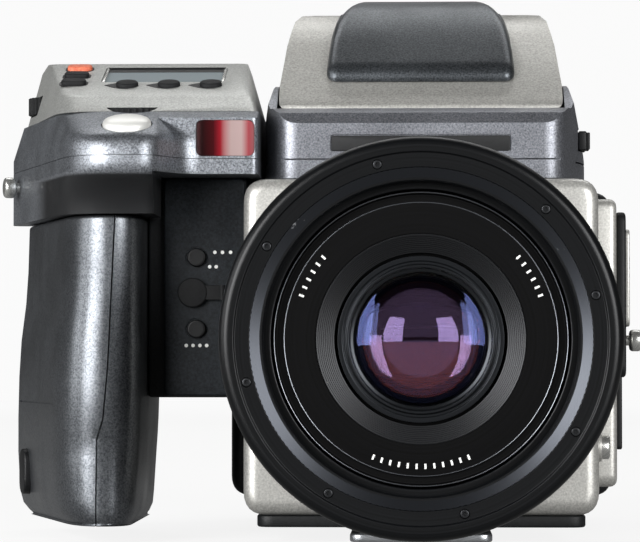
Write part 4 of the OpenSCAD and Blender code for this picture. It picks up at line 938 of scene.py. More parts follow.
def strap_knob(side, x, y, z):
    """Knob on a thin neck, pointing outward to one side."""
    neck, knob = [sorted((x + side * a, x + side * b)) for a, b in [(-0.3, 1.2), (0.9, 3.8)]]
    return gather([rod("X", (y, z), *neck, 1.2, count=24), rod("X", (y, z), *knob, 2.55, edge=0.8, count=32)])


right_knob = strap_knob(1, COVER_OUT, CHEEK_FRONT + 6, AXIS_Z + 0.3)
print("Side cover:", round(side_high.z - COVER_Z), "mm high")

# %% [markdown]
# ## The grip side
# A dark web joins the grip to the body. Its grained panel carries two small buttons, which are rods
# with a rounded, slightly sunk face in bores of the panel. A moat round each bore draws the thin
# shadow line that a separate button has. All of it is milled, as the real moulds are.

# %% Web, panel and panel buttons
web_low, web_high = box_mm("grip_web")
panel_low, panel_high = box_mm("grip_panel")
panel_keys = {node: round_view(node, "Y") for node in ("mirror_up_button", "stop_down_button")}
cap_low, cap_high = box_mm("remote_cap")
CAP_R = (cap_high.z - cap_low.z) / 2
CAP_AT = (cap_low.x + CAP_R, cap_low.z + CAP_R)

web = slab(web_low, web_high, "Y", 1, edge=0.5)
web_bores = [rod("Y", at, web_low.y - OVER, web_low.y + 3, r + 0.3) for at, r in panel_keys.values()]
piece(combine(web, web_bores), "grip_bridge", black_nylon, ["grip_web"])

panel_cuts = []
for depth, gap in [(panel_high.y + OVER, KEY_FIT), (panel_low.y + 0.25, 0.45)]:
    panel_cuts += [rod("Y", at, panel_low.y - OVER, depth, r + gap) for at, r in panel_keys.values()]
panel_cuts.append(rod("Y", CAP_AT, panel_low.y - OVER, panel_high.y - 0.5, CAP_R - 0.6))
grained_panel = lacquer("grained_panel", "#101316", "#22262a", 0.55, 0.1, 0.5, 0.06, shine=0.2)
piece(combine(slab(panel_low, panel_high, "Y", 1.5, edge=0.45), panel_cuts), "grained_slab", grained_panel,
      ["grip_panel"])
for node, (at, r) in panel_keys.items():
    low, high = box_mm(node)
    key = rod("Y", at, low.y, high.y, r, edge=0.35)
    dish = rod("Y", at, low.y - OVER, low.y + 0.12, r - 0.6, count=32)
    piece(combine(key, [dish]), node + "_key", black_abs, [node], node)
print("Panel:", len(panel_keys), "buttons")

# %% [markdown]
# The rubber cap of the remote socket stays on by its tab, which bends where it opens. Disc, tab, bend
# and plug are gathered in one mesh: they overlap, and inside rubber nobody sees that. White dots
# beside the buttons are thin discs, like the ticks on the lens.

# %% Rubber cap and dots
CAP_BACK = panel_low.y - 0.3
TAB_END, TAB_HALF, BEND_R = cap_high.x - 0.65, CAP_R / 2, 0.65
TAB_Z = (CAP_AT[1] - TAB_HALF, CAP_AT[1] + TAB_HALF)
disc = rod("Y", CAP_AT, cap_low.y, CAP_BACK, CAP_R, edge=0.4)
tab = prism(oblong(CAP_AT[0] + CAP_R - 1, TAB_END, *TAB_Z, 0.3), "Y", cap_low.y + 0.25, CAP_BACK, edge=0.2)
bend = rod("Z", (TAB_END, CAP_BACK - BEND_R), *TAB_Z, BEND_R, count=24)
plug = rod("Y", CAP_AT, panel_low.y - 0.6, panel_high.y - 0.8, CAP_R - 1.6)
piece(gather([disc, tab, bend, plug]), "rubber_cap", black_rubber, ["remote_cap"], "remote_cap")

DOT_R = 0.42
DOTS = {"mirror_up_button": [(4.3, 1.2), (6.1, 1.2), (8.0, 1.2), (3.1, -2.2), (4.6, -2.2)],
        "stop_down_button": [(-2.4, -3.9), (-0.8, -3.9), (0.8, -3.9), (2.4, -3.9)]}
dots = []
for node, offsets in DOTS.items():
    at = panel_keys[node][0]
    for x, z in offsets:
        dots.append(rod("Y", (at[0] + x, at[1] + z), panel_low.y - 0.04, panel_low.y + 0.1, DOT_R, count=16))
piece(gather(dots), "panel_dots", white_paint)
print("Rubber cap and", len(dots), "dots")

# %% [markdown]
# The grip is the battery: a lacquered block that slides down off a rail. Seen from above it is a
# teardrop, narrow in front for the fingers and wide at the back for the palm, with a slanting flank.
# The flank swells toward the middle, so the block is a skin over outlines at several heights: each
# height says how far the flank, the right side and the front lie back.

# %% Outline of the battery grip
grip_low, grip_high = box_mm("battery_grip")
GRIP_RIGHT, GRIP_FRONT, GRIP_BACK = grip_high.x, grip_low.y, grip_high.y
GRIP_NOSE = Vector((GRIP_RIGHT - 17.7, GRIP_FRONT))
GRIP_TAIL = Vector((GRIP_RIGHT - 36.8, GRIP_BACK))
GRIP_SECTIONS = [(4.0, 4.0, 3.4, 1.6), (5.2, 2.7, 2.5, 1.1), (7.0, 1.3, 1.7, 0.9), (10.0, 0.5, 1.4, 0.8),
                 (19.7, 0.0, 0.8, 0.8), (24.0, 0.0, 0.5, 0.8), (28.0, 0.0, 0.3, 0.0), (38.0, 0.2, 0.0, 0.0),
                 (46.8, 0.7, 0.0, 0.0), (56.0, 1.8, 0.0, 0.0), (63.9, 2.3, 0.0, 0.0), (75.3, 2.6, 0.0, 0.0)]


def flank_angle(nose, tail):
    """Slant of the flank between two corners of an outline."""
    return math.atan2(nose.x - tail.x, tail.y - nose.y)


def on_flank(bm, nose, tail, share):
    """Shape moved onto a flank: its X points inward and its Y backward along the flank."""
    bmesh.ops.rotate(bm, matrix=Matrix.Rotation(flank_angle(nose, tail), 3, "Z"), verts=bm.verts)
    at = nose.lerp(tail, share)
    bmesh.ops.translate(bm, vec=(at.x, at.y, 0), verts=bm.verts)
    return bm


def grip_outline(flank_in, right_in, front_in):
    """Teardrop of the grip with its sides set in."""
    shift = flank_in / math.cos(flank_angle(GRIP_NOSE, GRIP_TAIL))
    right, front = GRIP_RIGHT - right_in, GRIP_FRONT + front_in
    corners = [(right, GRIP_BACK), (right, front), (GRIP_NOSE.x + shift, front),
               (GRIP_TAIL.x + shift, GRIP_BACK)]
    return rounded(corners, [7, 9, 14, 6], 10)


grip = loft([(z, grip_outline(*insets)) for z, *insets in GRIP_SECTIONS])
print("Grip:", [round(v) for v in grip_high - grip_low], "mm,", len(GRIP_SECTIONS), "outlines")

# %% [markdown]
# The mould's parts leave thin seams on the grip. They are milled as grooves along a line of points,
# since a drawn line would not catch the light. The oval key in the flank unlocks the battery, and
# the slot at the top takes the rail of the collar.

# %% Seams, rail slot and key of the grip
ROOM = 0.3
SEAM_W = 0.36
FRONT_SEAM = [(-69.9, 78.0), (-71.6, 40.7), (-72.7, 28.4), (-74.2, 23.8), (-74.4, 2.0)]
RAIL_AT = (GRIP_RIGHT - 12.5, GRIP_FRONT + 36.5)
RAIL_W, RAIL_D, RAIL_L = 14, 26, 36
OVAL_HALF, OVAL_LOW, OVAL_HIGH, OVAL_R = 4, 5.5, 16.5, 3.9


def seam(points, low, high):
    """Groove cutter along a line of points, drawn out from front to back."""
    left, right = [], []
    for i, point in enumerate(points):
        ahead = Vector(points[min(i + 1, len(points) - 1)]) - Vector(points[max(i - 1, 0)])
        side = Vector((-ahead.y, ahead.x)).normalized() * SEAM_W / 2
        left.append(tuple(Vector(point) + side))
        right.append(tuple(Vector(point) - side))
    return prism(left + right[::-1], "Y", low, high)


def release_oval(x0, x1, gap, edge=0.0):
    """Oval of the battery key, or its pocket, in the flank."""
    outline = oblong(-OVAL_HALF - gap, OVAL_HALF + gap, grip_low.z + OVAL_LOW - gap,
                     grip_low.z + OVAL_HIGH + gap, OVAL_R + gap)
    return on_flank(prism(outline, "X", x0, x1, edge), GRIP_NOSE, GRIP_TAIL, 0.74)


def rail_block(gap, z0, z1):
    """Rail of the collar, or its slot in the grip."""
    return brick(RAIL_AT[0] - RAIL_W / 2 - gap, RAIL_AT[0] + RAIL_W / 2 + gap,
                 RAIL_AT[1] - RAIL_D / 2 - gap, RAIL_AT[1] + RAIL_D / 2 + gap, z0, z1)


front_seam = seam(FRONT_SEAM, GRIP_FRONT - OVER, GRIP_FRONT + 2.2)
flank_seam = on_flank(brick(-3, 0.5, -22, 26, 31.8, 32.15), GRIP_NOSE, GRIP_TAIL, 0.5)
rail_slot = rail_block(ROOM, grip_high.z - RAIL_L - 0.7, grip_high.z + OVER)
key_pocket = release_oval(-2, 3.1, KEY_FIT)
piece(combine(soften(grip, 0.9, 4, 40), [rail_slot, key_pocket, front_seam, flank_seam]), "battery_block",
      charcoal_lacquer, ["battery_grip"], "battery_grip")
piece(release_oval(-1.1, 2.0, 0, edge=0.5), "battery_key", black_abs,
      ["battery_release"], "battery_release")
print("Grip seams: 2, key and rail slot")

# %% [markdown]
# ## Collar and top plate
# A two-part collar sits on the grip like a cap. Under its nose and along the front of its flank the
# lacquer fades to near black. This is painted shade: the undercut faces down and stays dark under the
# lamps. Two materials would meet in a hard line, so one material fades from the lacquer to the shade.

# %% Painted shade under the collar's nose
upper_low, upper_high = box_mm("collar_upper")
COLLAR_RIGHT = upper_high.x
COLLAR_FRONT, COLLAR_BACK = upper_low.y, upper_high.y
SEAM_Z, COLLAR_TOP = upper_low.z, upper_high.z
SHADE_TOP_Z, SHADE_SOFTNESS = SEAM_Z - 3.9, 0.7
SHADE_FRONT_Y, SHADE_BACK_Y = -14, 14


def undercut_shade_lacquer():
    """Collar lacquer that fades into painted shade, near black and not metallic, under the nose and along the
    front flank.
    """
    finish = lacquer("undercut_shade_lacquer", *COLLAR_PAINT)
    tree = finish.node_tree
    shader = tree.nodes["Principled BSDF"]
    place = add_node(tree, "ShaderNodeTexCoord")
    where = add_node(tree, "ShaderNodeSeparateXYZ", {0: place.outputs["Object"]})
    above = add_node(tree, "ShaderNodeMapRange",
                     {"Value": where.outputs["Z"], "From Min": (SHADE_TOP_Z - SHADE_SOFTNESS) * MM,
                      "From Max": (SHADE_TOP_Z + SHADE_SOFTNESS) * MM}, interpolation_type="SMOOTHSTEP")
    behind = add_node(tree, "ShaderNodeMapRange",
                      {"Value": where.outputs["Y"], "From Min": SHADE_FRONT_Y * MM,
                       "From Max": SHADE_BACK_Y * MM}, interpolation_type="SMOOTHSTEP")
    paint = add_node(tree, "ShaderNodeMath", {0: above.outputs["Result"], 1: behind.outputs["Result"]},
                     operation="MAXIMUM")
    tint = shader.inputs["Base Color"].links[0].from_socket
    # Where the mask is low the colour is near-black painted shade, and the metal sheen is taken away too.
    mixed = add_node(tree, "ShaderNodeMix", {0: paint.outputs[0], 6: colour("#101113"), 7: tint},
                     data_type="RGBA")
    metallic = COLLAR_PAINT[3]
    shine = add_node(tree, "ShaderNodeMath", {0: paint.outputs[0], 1: metallic}, operation="MULTIPLY")
    tree.links.new(mixed.outputs[2], shader.inputs["Base Color"])
    tree.links.new(shine.outputs[0], shader.inputs["Metallic"])
    return finish


collar_shade_lacquer = undercut_shade_lacquer()
# Height below which the collar's lacquer fades into painted shade.
print("Finger rest: fades at", round(SHADE_TOP_Z, 1), "mm")

# %% [markdown]
# Seen from above the collar has a blunt nose ahead of the grip for the shutter button, steps back
# beside the lens, and follows the grip's flank. The lower part is undercut below the nose. The upper
# part slopes down to the front and leans in along the flank. Like the grip, it is a skin over
# outlines at several heights, each with the setback of its nose. It is made in one block and sawn in
# two at the seam, so that both parts meet without a step.

# %% Collar block
window_low, window_high = box_mm("af_window")
NOSE_RIGHT = GRIP_RIGHT + 3.5
COLLAR_NOSE = Vector((NOSE_RIGHT - 17.7, COLLAR_FRONT))
COLLAR_TAIL = Vector((GRIP_TAIL.x - 1.5, COLLAR_BACK))
COLLAR_A = flank_angle(COLLAR_NOSE, COLLAR_TAIL)
COLLAR_SECTIONS = [(75.6, 7.5), (77.5, 6.9), (79.5, 5.8), (81.5, 4.2), (83.2, 2.1), (84.2, 0.9),
                   (85.4, 0.2), (87.0, 0.0), (90.0, 0.1), (91.6, 0.5), (92.8, 1.2), (93.7, 2.4),
                   (94.5, 4.2), (96.0, 7.8), (98.0, 13.6), (99.9, 19.5)]
STEP_RUN = 6.4
LEAN_FROM, LEAN = SEAM_Z + 3, 0.3
LOWER_BOT = grip_high.z + ROOM
UNDER_Z = web_high.z
SAW = 0.12
FAR = 120


def collar_outline(z, front_in):
    """Outline of the collar at a height: nose, step beside the lens and slanting flank."""
    front = COLLAR_FRONT + front_in
    step = max(front + 0.1, window_low.y)
    flank_in = max(0, LEAN * (z - LEAN_FROM)) / math.cos(COLLAR_A)
    nose_left = COLLAR_NOSE.x - front_in * math.tan(COLLAR_A) + flank_in
    share = (step - front) / (window_low.y - COLLAR_FRONT)
    corners = [(COLLAR_RIGHT, COLLAR_BACK), (COLLAR_RIGHT, step), (NOSE_RIGHT + STEP_RUN * share, step),
               (NOSE_RIGHT, front), (nose_left, front), (COLLAR_TAIL.x + flank_in, COLLAR_BACK)]
    return rounded(corners, [2, 1.6, 5 * share + 0.05, 4 * share + 0.05, 12, 5], 6)


sections = [(LOWER_BOT + z - COLLAR_SECTIONS[0][0], collar_outline(z, front_in))
            for z, front_in in COLLAR_SECTIONS]
web_rooms = [brick(web_low.x - ROOM, 0, panel_low.y - ROOM, FAR, 0, UNDER_Z),
             brick(NOSE_RIGHT, 0, -FAR, FAR, 0, UNDER_Z)]
whole = combine(loft(sections), web_rooms)
lower = combine(whole.copy(), [brick(-FAR, 0, -FAR, FAR, 0, SEAM_Z - SAW)], "INTERSECT")
upper = combine(whole, [brick(-FAR, 0, -FAR, FAR, SEAM_Z, FAR)], "INTERSECT")
rail = rail_block(0, LOWER_BOT - RAIL_L, LOWER_BOT + OVER)
piece(gather([lower, rail]), "collar_low_part", collar_shade_lacquer, ["collar_lower"], smooth_to=40)
print("Collar:", round(COLLAR_RIGHT - COLLAR_TAIL.x, 1), "mm wide")

# %% [markdown]
# The upper part has a sloped pocket for the shutter button, a round room for the front wheel with
# its axle left standing, and the opening of the red window. They are milled like those of the body.
# The strap knob of this side stands on the flank.

# %% Upper collar and strap knobs
wheel_low, wheel_high = box_mm("front_wheel")
WHEEL_AT, WHEEL_R = round_view("front_wheel", "Z")
AXLE_R = 1.5
SHOULDER_D, SHOULDER_H = 19.5, 6.2
SHOULDER_A = math.atan2(SHOULDER_H, SHOULDER_D)
SHUTTER_S = 0.42 * math.hypot(SHOULDER_D, SHOULDER_H)
SHUTTER_R = 5.6


def placed(bm, x, y, z, tilt, s):
    """Shape moved onto a slope that starts at a line and rises to the back."""
    bmesh.ops.translate(bm, vec=(0, s, 0), verts=bm.verts)
    bmesh.ops.rotate(bm, matrix=Matrix.Rotation(tilt, 3, "X"), verts=bm.verts)
    bmesh.ops.translate(bm, vec=(x, y, z), verts=bm.verts)
    return bm


def on_shoulder(bm):
    """Shape moved to the shutter button's place."""
    return placed(bm, WHEEL_AT[0], COLLAR_FRONT, COLLAR_TOP - SHOULDER_H, SHOULDER_A, SHUTTER_S)


def wheel_room(at, radius, low, high, axle_top, count=48):
    """Room of a wheel, round its axle."""
    room = rod("Z", at, low - ROOM, high + ROOM, radius + ROOM, count=count)
    return combine(room, [rod("Z", at, low - OVER, axle_top, AXLE_R, count=24)])


shutter_cut = on_shoulder(rod("Z", (0, 0), -4.2, 3, SHUTTER_R + ROOM))
front_room = wheel_room(WHEEL_AT, WHEEL_R, wheel_low.z, wheel_high.z, COLLAR_TOP)
window_cut = prism(view_of(window_low, window_high, "Y", 1.7, -0.1), "Y", window_low.y - OVER, window_high.y)
piece(combine(upper, [shutter_cut, front_room, window_cut]), "collar_top_part", collar_lacquer,
      ["collar_upper"], smooth_to=40)
left_knob = on_flank(strap_knob(-1, 0, 0, COLLAR_TOP - 15.3), COLLAR_NOSE, COLLAR_TAIL, 0.85)
piece(gather([right_knob, left_knob]), "strap_knobs", bright_steel, ["strap_lugs"])
print("Upper collar with 3 openings")

# %% [markdown]
# The shutter button is a silver dome, spun about its own upright axis before it is laid on the
# slope. The red pane is bowed forward, so that it draws the side lights into upright bands: it is
# what a bowed plan and a rounded front view have in common.

# %% Shutter button and red pane
DOME = [(0.0, 1.7), (1.6, 1.65), (3.0, 1.5), (4.2, 1.25), (5.0, 0.9), (5.45, 0.4), (SHUTTER_R, -0.1),
        (SHUTTER_R, -2.2), (0.0, -2.2)]
BOW, BOW_STEPS = 0.5, 8
button = bmesh.new()
line = [button.verts.new((r, 0, z)) for r, z in DOME]
for a, b in zip(line, line[1:]):
    button.edges.new((a, b))
bmesh.ops.spin(button, geom=button.verts[:] + button.edges[:], cent=(0, 0, 0), axis=(0, 0, 1),
               angle=2 * math.pi, steps=64, use_merge=True)
piece(on_shoulder(button), "shutter_dome", satin_chrome, ["shutter_button"],
      "shutter_button")

window_mid, window_half = (window_low.x + window_high.x) / 2, (window_high.x - window_low.x) / 2
bow_shares = [i / BOW_STEPS for i in range(-BOW_STEPS, BOW_STEPS + 1)]
bow = [(window_mid + window_half * share, window_low.y + BOW * share ** 2) for share in bow_shares]
pane_plan = prism([(window_low.x, window_high.y)] + bow + [(window_high.x, window_high.y)], "Z",
                  window_low.z, window_high.z)
pane_view = prism(view_of(window_low, window_high, "Y", 1.6), "Y", window_low.y - OVER, window_high.y + OVER)
piece(combine(pane_plan, [pane_view], "INTERSECT"), "red_pane", red_glass_painted_sheen, ["af_window"])
print("Shutter button:", 2 * SHUTTER_R, "mm wide")

# %% [markdown]
# The two wheels are turned by a finger tip, so their rims are knurled. A toothed outline drawn out
# upward gives that, like the ribs of the focus ring. Each wheel has a bore for its axle.

# %% Wheels
TOOTH_D = 0.6


def knurled_wheel(name, node, count):
    """Toothed wheel about a vertical axle."""
    low, high = box_mm(node)
    at, radius = round_view(node, "Z")
    teeth = rounded(toothed(at, radius, TOOTH_D, count), 0.15, 2)
    wheel = prism(teeth, "Z", low.z, high.z, edge=0.15, segments=2)
    bore = rod("Z", at, low.z - OVER, high.z + OVER, AXLE_R + 0.1, count=24)
    piece(combine(wheel, [bore]), name, black_rubber, [node], node)


knurled_wheel("front_dial", "front_wheel", 30)
knurled_wheel("rear_dial", "rear_wheel", 34)
print("Wheels: 2")

# %% [markdown]
# The top plate is a silver moulding with a bright bevel in front and a sloped panel for the display
# and the buttons. It is a skin over outlines like the collar, whose front edges lie on the bevel and
# on the panel, cut off at the rear by a side view.

# %% Top plate
plate_low, plate_high = box_mm("top_plate")
PLATE_RIGHT = plate_high.x
PLATE_FRONT, PLATE_BACK = plate_low.y, plate_high.y
BEVEL_Y, BEVEL_Z = PLATE_FRONT + 7, COLLAR_TOP + 4.3
TOP_Y, TOP_Z = BEVEL_Y + 30, BEVEL_Z + 10.4
SLOPE_A = math.atan2(TOP_Z - BEVEL_Z, TOP_Y - BEVEL_Y)
PLATE_NOSE = Vector((COLLAR_NOSE.x - 5.1, PLATE_FRONT))
PLATE_TAIL = Vector((COLLAR_TAIL.x + 3.9, PLATE_BACK))
PLATE_A = flank_angle(PLATE_NOSE, PLATE_TAIL)
FLANK_LEAN, RIGHT_LEAN = 0.26, 0.287
PLATE_SECTIONS = [(0.06, 0.1, 11), (1.5, 2.4, 10), (3.0, 4.9, 9), (3.9, 6.4, 8), (4.3, 7.0, 8),
                  (4.6, 7.9, 7), (5.4, 10.2, 6), (7.0, 14.8, 5), (10.0, 23.4, 4), (13.0, 32.1, 4),
                  (14.7, 37.0, 4), (15.2, 41.5, 3)]


def plate_outline(z, front_in, reach):
    """Outline of the plate at a height above the collar."""
    front = PLATE_FRONT + front_in
    flank_in = (FLANK_LEAN * (z + 1) - 0.3) / math.cos(PLATE_A)
    right = PLATE_RIGHT - RIGHT_LEAN * z
    nose = PLATE_NOSE.x - front_in * math.tan(PLATE_A) + flank_in
    corners = [(right, PLATE_BACK), (right, front), (nose, front), (PLATE_TAIL.x + flank_in, PLATE_BACK)]
    return rounded(corners, [2, 3, reach, 4], 8)


plate = loft([(COLLAR_TOP + section[0], plate_outline(*section)) for section in PLATE_SECTIONS])
rear_view = prism([(PLATE_FRONT - OVER, COLLAR_TOP - OVER), (PLATE_FRONT - OVER, TOP_Z + 3),
                   (TOP_Y + 6, TOP_Z + 0.6), (PLATE_BACK + OVER, TOP_Z - 2.3),
                   (PLATE_BACK + OVER, COLLAR_TOP - OVER)], "X", -FAR, 0)
plate = soften(combine(plate, [rear_view], "INTERSECT"), 0.5, 3, 40)
print("Top plate:", len(PLATE_SECTIONS), "outlines")

# %% [markdown]
# The plate's pockets are milled: three round ones in a row, three oblong ones at the left, the recess
# of the display and the rooms of both wheels. Each is made flat and then laid on the slope.

# %% Pockets of the top plate
ROW_X, ROW_S, ROW_PITCH, ROW_R = COLLAR_RIGHT - 22.3, 9.9, 10.0, 2.65
LCD_X, LCD_S, LCD_W, LCD_D = COLLAR_RIGHT - 24.1, 20.85, 29.7, 14.8
SIDE_X, SIDE_W, SIDE_D = COLLAR_RIGHT - 45.3, 6.0, 3.8
POCKET = 4.2
row_keys = {"drive_button": ROW_X - ROW_PITCH, "focus_mode_button": ROW_X,
            "flash_mode_button": ROW_X + ROW_PITCH}
side_keys = {"menu_button": 12, "profile_button": 19.2, "power_button": 26.4}


def on_panel(bm, x, s):
    """Shape moved onto the sloped panel, s along the slope."""
    return placed(bm, x, BEVEL_Y, BEVEL_Z, SLOPE_A, s)


def side_outline(gap):
    """Oblong of a side button or its pocket."""
    return oblong(-SIDE_W / 2 - gap, SIDE_W / 2 + gap, -SIDE_D / 2 - gap, SIDE_D / 2 + gap, SIDE_D / 2 - 0.1)


def lcd_outline(inset, radius):
    """Oblong of the display or its recess."""
    return oblong(-LCD_W / 2 + inset, LCD_W / 2 - inset, -LCD_D / 2 + inset, LCD_D / 2 - inset, radius)


cuts = [on_panel(rod("Z", (0, 0), -POCKET, 2, ROW_R + KEY_FIT), x, ROW_S) for x in row_keys.values()]
cuts += [on_panel(prism(side_outline(KEY_FIT), "Z", -POCKET, 2), SIDE_X, s) for s in side_keys.values()]
cuts.append(on_panel(prism(lcd_outline(0, 1.2), "Z", -1.25, 3), LCD_X, LCD_S))
rear_low, rear_high = box_mm("rear_wheel")
REAR_AT, REAR_R = round_view("rear_wheel", "Z")
cuts.append(wheel_room(REAR_AT, REAR_R, rear_low.z, rear_high.z, rear_high.z + OVER, 64))
cuts.append(rod("Z", WHEEL_AT, COLLAR_TOP - OVER, wheel_high.z + ROOM, WHEEL_R + ROOM))
piece(combine(plate, cuts), "silver_plate", plate_lacquer, ["top_plate"], smooth_to=40)
print("Top plate with", len(cuts), "pockets")

# %% [markdown]
# The row buttons are rubber pills that stand in dark leaf-shaped wells, and the side buttons are
# oblong ones. The wells are thin dark mats round the pills, because deeper pockets would not show.

# %% Buttons of the top plate
MAT_LOW, MAT_HIGH = -0.05, 0.06
LEAF = rounded([(-5.6, 0.3), (-2.4, -ROW_R - 0.35), (1.0, -ROW_R - 0.45), (ROW_R + 0.45, 0),
                (1.0, ROW_R + 0.45), (-2.4, ROW_R + 0.2)], [0.4, 2.0, 2.4, 2.4, 2.4, 2.0])
mats = []
for node, x in row_keys.items():
    pill = rod("Z", (0, 0), -3, 1.0, ROW_R, edge=0.5)
    piece(on_panel(pill, x, ROW_S), node + "_pill", black_rubber, [node], node)
    mat = combine(prism(LEAF, "Z", MAT_LOW, MAT_HIGH), [rod("Z", (0, 0), -OVER, OVER, ROW_R + 0.1)])
    mats.append(on_panel(mat, x, ROW_S))
for node, s in side_keys.items():
    pill = prism(side_outline(0), "Z", -3, 1.0, edge=0.5)
    finish, slot = (orange_silicone, "orange_rubber") if node == "power_button" else (black_rubber, "rubber")
    piece(on_panel(pill, SIDE_X, s), node + "_pill", finish, [node], node)
    mat = combine(prism(side_outline(0.45), "Z", MAT_LOW, MAT_HIGH),
                  [prism(side_outline(0.1), "Z", -OVER, OVER)])
    mats.append(on_panel(mat, SIDE_X, s))
piece(gather(mats), "button_wells", black_abs)
print("Buttons:", len(mats))

# %% [markdown]
# The display lies sunk in its recess, so the rear wall throws a shadow on it, and two bright rims
# stand at its ends. That shadow is painted: a thin dark block on the display and a thin dark sheet up
# the rear wall, which look the same under any light.

# %% Display of the top plate
piece(on_panel(prism(lcd_outline(0.1, 1.1), "Z", -1.2, -0.45), LCD_X, LCD_S), "display_face", lcd_face,
      ["lcd_window"])
STRIP_SIDE, STRIP_D = LCD_W / 2 - 0.6, 3.4
# Painted shadow of the rear wall: a dark block on the display and a dark sheet up the wall.
shade = brick(-STRIP_SIDE, STRIP_SIDE, LCD_D / 2 - STRIP_D, LCD_D / 2 - 0.1, -0.5, -0.4)
wall = brick(-STRIP_SIDE, STRIP_SIDE, LCD_D / 2 - 0.3, LCD_D / 2 - 0.02, -0.45, -0.02)
piece(on_panel(gather([shade, wall]), LCD_X, LCD_S), "display_painted_shadow", black_abs)
RIM_AT, RIM_HALF = LCD_W / 2 - 0.5, 0.35
rims = [brick(s * RIM_AT - RIM_HALF, s * RIM_AT + RIM_HALF, -LCD_D / 2 + 0.9, LCD_D / 2 - 0.9, -0.5, -0.05,
              0.15) for s in (-1, 1)]
piece(on_panel(gather(rims), LCD_X, LCD_S), "display_rims", bright_steel)
print("Display:", LCD_W, "x", LCD_D, "mm")

# %% [markdown]
# ## The finder
# The prism finder has a dark lower housing that runs back over the digital back to the eyepiece, and
# a silver hood over the prism. The housing is a side view drawn out across, with two low walls beside
# the hood, trimmed by a plan and a front view. Its right side spreads out to the foot. Three views
# that share one block are how a draughtsman would give such a form, and each stays easy to change.

# %% Finder housing
finder_low, finder_high = box_mm("finder_base")
FINDER_SIDE = finder_high.x
FINDER_FRONT, FINDER_BACK = finder_low.y, finder_high.y
FINDER_BOT, FINDER_TOP = finder_low.z, finder_high.z
FINDER_MID = FINDER_TOP - 6.6
BLOCK_FRONT = FINDER_BACK - 26
FOOT_SIDE = FINDER_SIDE + 2.2
FACE_SIDE = 32.4
TOP_SIDE = FINDER_SIDE - 2.4
PARTING_Z = 88.6
hood_low, hood_high = box_mm("finder_hood")
HOOD_SIDE = hood_high.x
HOOD_FRONT, HOOD_FOOT = hood_low.y, hood_low.z


def to_side(s, near, far):
    """Lower and higher end of a stretch on one side of the middle."""
    return sorted((s * near, s * far))


housing = prism([(FINDER_FRONT, FINDER_BOT), (FINDER_FRONT, FINDER_MID - 4),
                 (FINDER_FRONT + 2.5, FINDER_MID - 1.4), (FINDER_FRONT + 7, FINDER_MID),
                 (BLOCK_FRONT, FINDER_MID), (BLOCK_FRONT, FINDER_TOP), (FINDER_BACK - 8, FINDER_TOP),
                 (FINDER_BACK, FINDER_TOP - 4), (FINDER_BACK, FINDER_BOT)], "X", -FINDER_SIDE - OVER,
                FOOT_SIDE + OVER)
wall_view = [(FINDER_FRONT + 7, FINDER_MID - 1), (FINDER_FRONT + 19, FINDER_TOP - 1),
             (FINDER_FRONT + 24, FINDER_TOP), (BLOCK_FRONT + 1, FINDER_TOP),
             (BLOCK_FRONT + 1, FINDER_MID - 1)]
walls = [prism(wall_view, "X", *to_side(s, HOOD_SIDE + 0.3, FINDER_SIDE + OVER)) for s in (-1, 1)]
plan = prism(rounded([(FOOT_SIDE, FINDER_BACK), (FOOT_SIDE, FINDER_FRONT + 22), (FACE_SIDE, FINDER_FRONT),
                      (-FACE_SIDE, FINDER_FRONT), (-FINDER_SIDE, FINDER_FRONT + 14),
                      (-FINDER_SIDE, FINDER_BACK)], [2, 7, 4, 4, 7, 2], 6), "Z", FINDER_BOT - OVER,
             FINDER_TOP + OVER)
housing_view = prism([(FOOT_SIDE - 1, FINDER_BOT - 1), (FOOT_SIDE, FINDER_BOT + 1), (FOOT_SIDE, PARTING_Z),
                      (TOP_SIDE, FINDER_TOP + OVER), (-TOP_SIDE, FINDER_TOP + OVER),
                      (-FINDER_SIDE - OVER, FINDER_MID - 8.5), (-FINDER_SIDE - OVER, FINDER_BOT - OVER)],
                     "Y", FINDER_FRONT - OVER, FINDER_BACK + OVER)
housing = combine(combine(housing, walls, "UNION"), [plan, housing_view], "INTERSECT")
housing = soften(housing, 1.1, 4)
print("Finder housing:", round(FINDER_BACK - FINDER_FRONT), "mm long")

# %% [markdown]
# A parting line runs round the housing, and a bare plate lies in a shallow recess at the front. Inside
# are the room of the prism, the opening to the mirror box and the eyepiece's bore, and the catch of
# the flash slides in a slot at the right. All of them are cut in one go.

# %% Cuts of the finder housing
EYE_Z, EYE_BORE_R = FINDER_BOT + 11.8, 7.55
LINE_D, LINE_H, LINE_SIDE = 1.6, 0.2, 40
CATCH_ROOM = 4.5
catch_low, catch_high = box_mm("flash_catch")


def finder_plate_view(inset, radius):
    """Front view of the finder's plate, or of its recess."""
    return oblong(-21 + inset, 21 - inset, 90.2 + inset, 94.4 - inset, radius)


housing_cuts = [brick(-LINE_SIDE, LINE_SIDE, FINDER_FRONT - OVER, FINDER_FRONT + LINE_D,
                      PARTING_Z - LINE_H, PARTING_Z + LINE_H)]
for s in (-1, 1):
    housing_cuts.append(brick(*to_side(s, FINDER_SIDE - LINE_D, LINE_SIDE), FINDER_FRONT + 13,
                              FINDER_BACK + OVER, PARTING_Z - LINE_H, PARTING_Z + LINE_H))
housing_cuts += [
    prism(finder_plate_view(0, 0.8), "Y", FINDER_FRONT - OVER, FINDER_FRONT + 0.5),
    brick(-24, 24, HOOD_FRONT + 4, BLOCK_FRONT - 4, FINDER_BOT + 3.8, FINDER_MID + OVER),
    finder_well(FINDER_BOT - OVER, FINDER_BOT + 4.8),
    rod("Y", (0, EYE_Z), BLOCK_FRONT - 5, FINDER_BACK + OVER, EYE_BORE_R),
    brick(catch_low.x - 0.2, catch_high.x + OVER, catch_low.y - CATCH_ROOM, catch_high.y + CATCH_ROOM,
          catch_low.z - ROOM, catch_high.z + ROOM)]
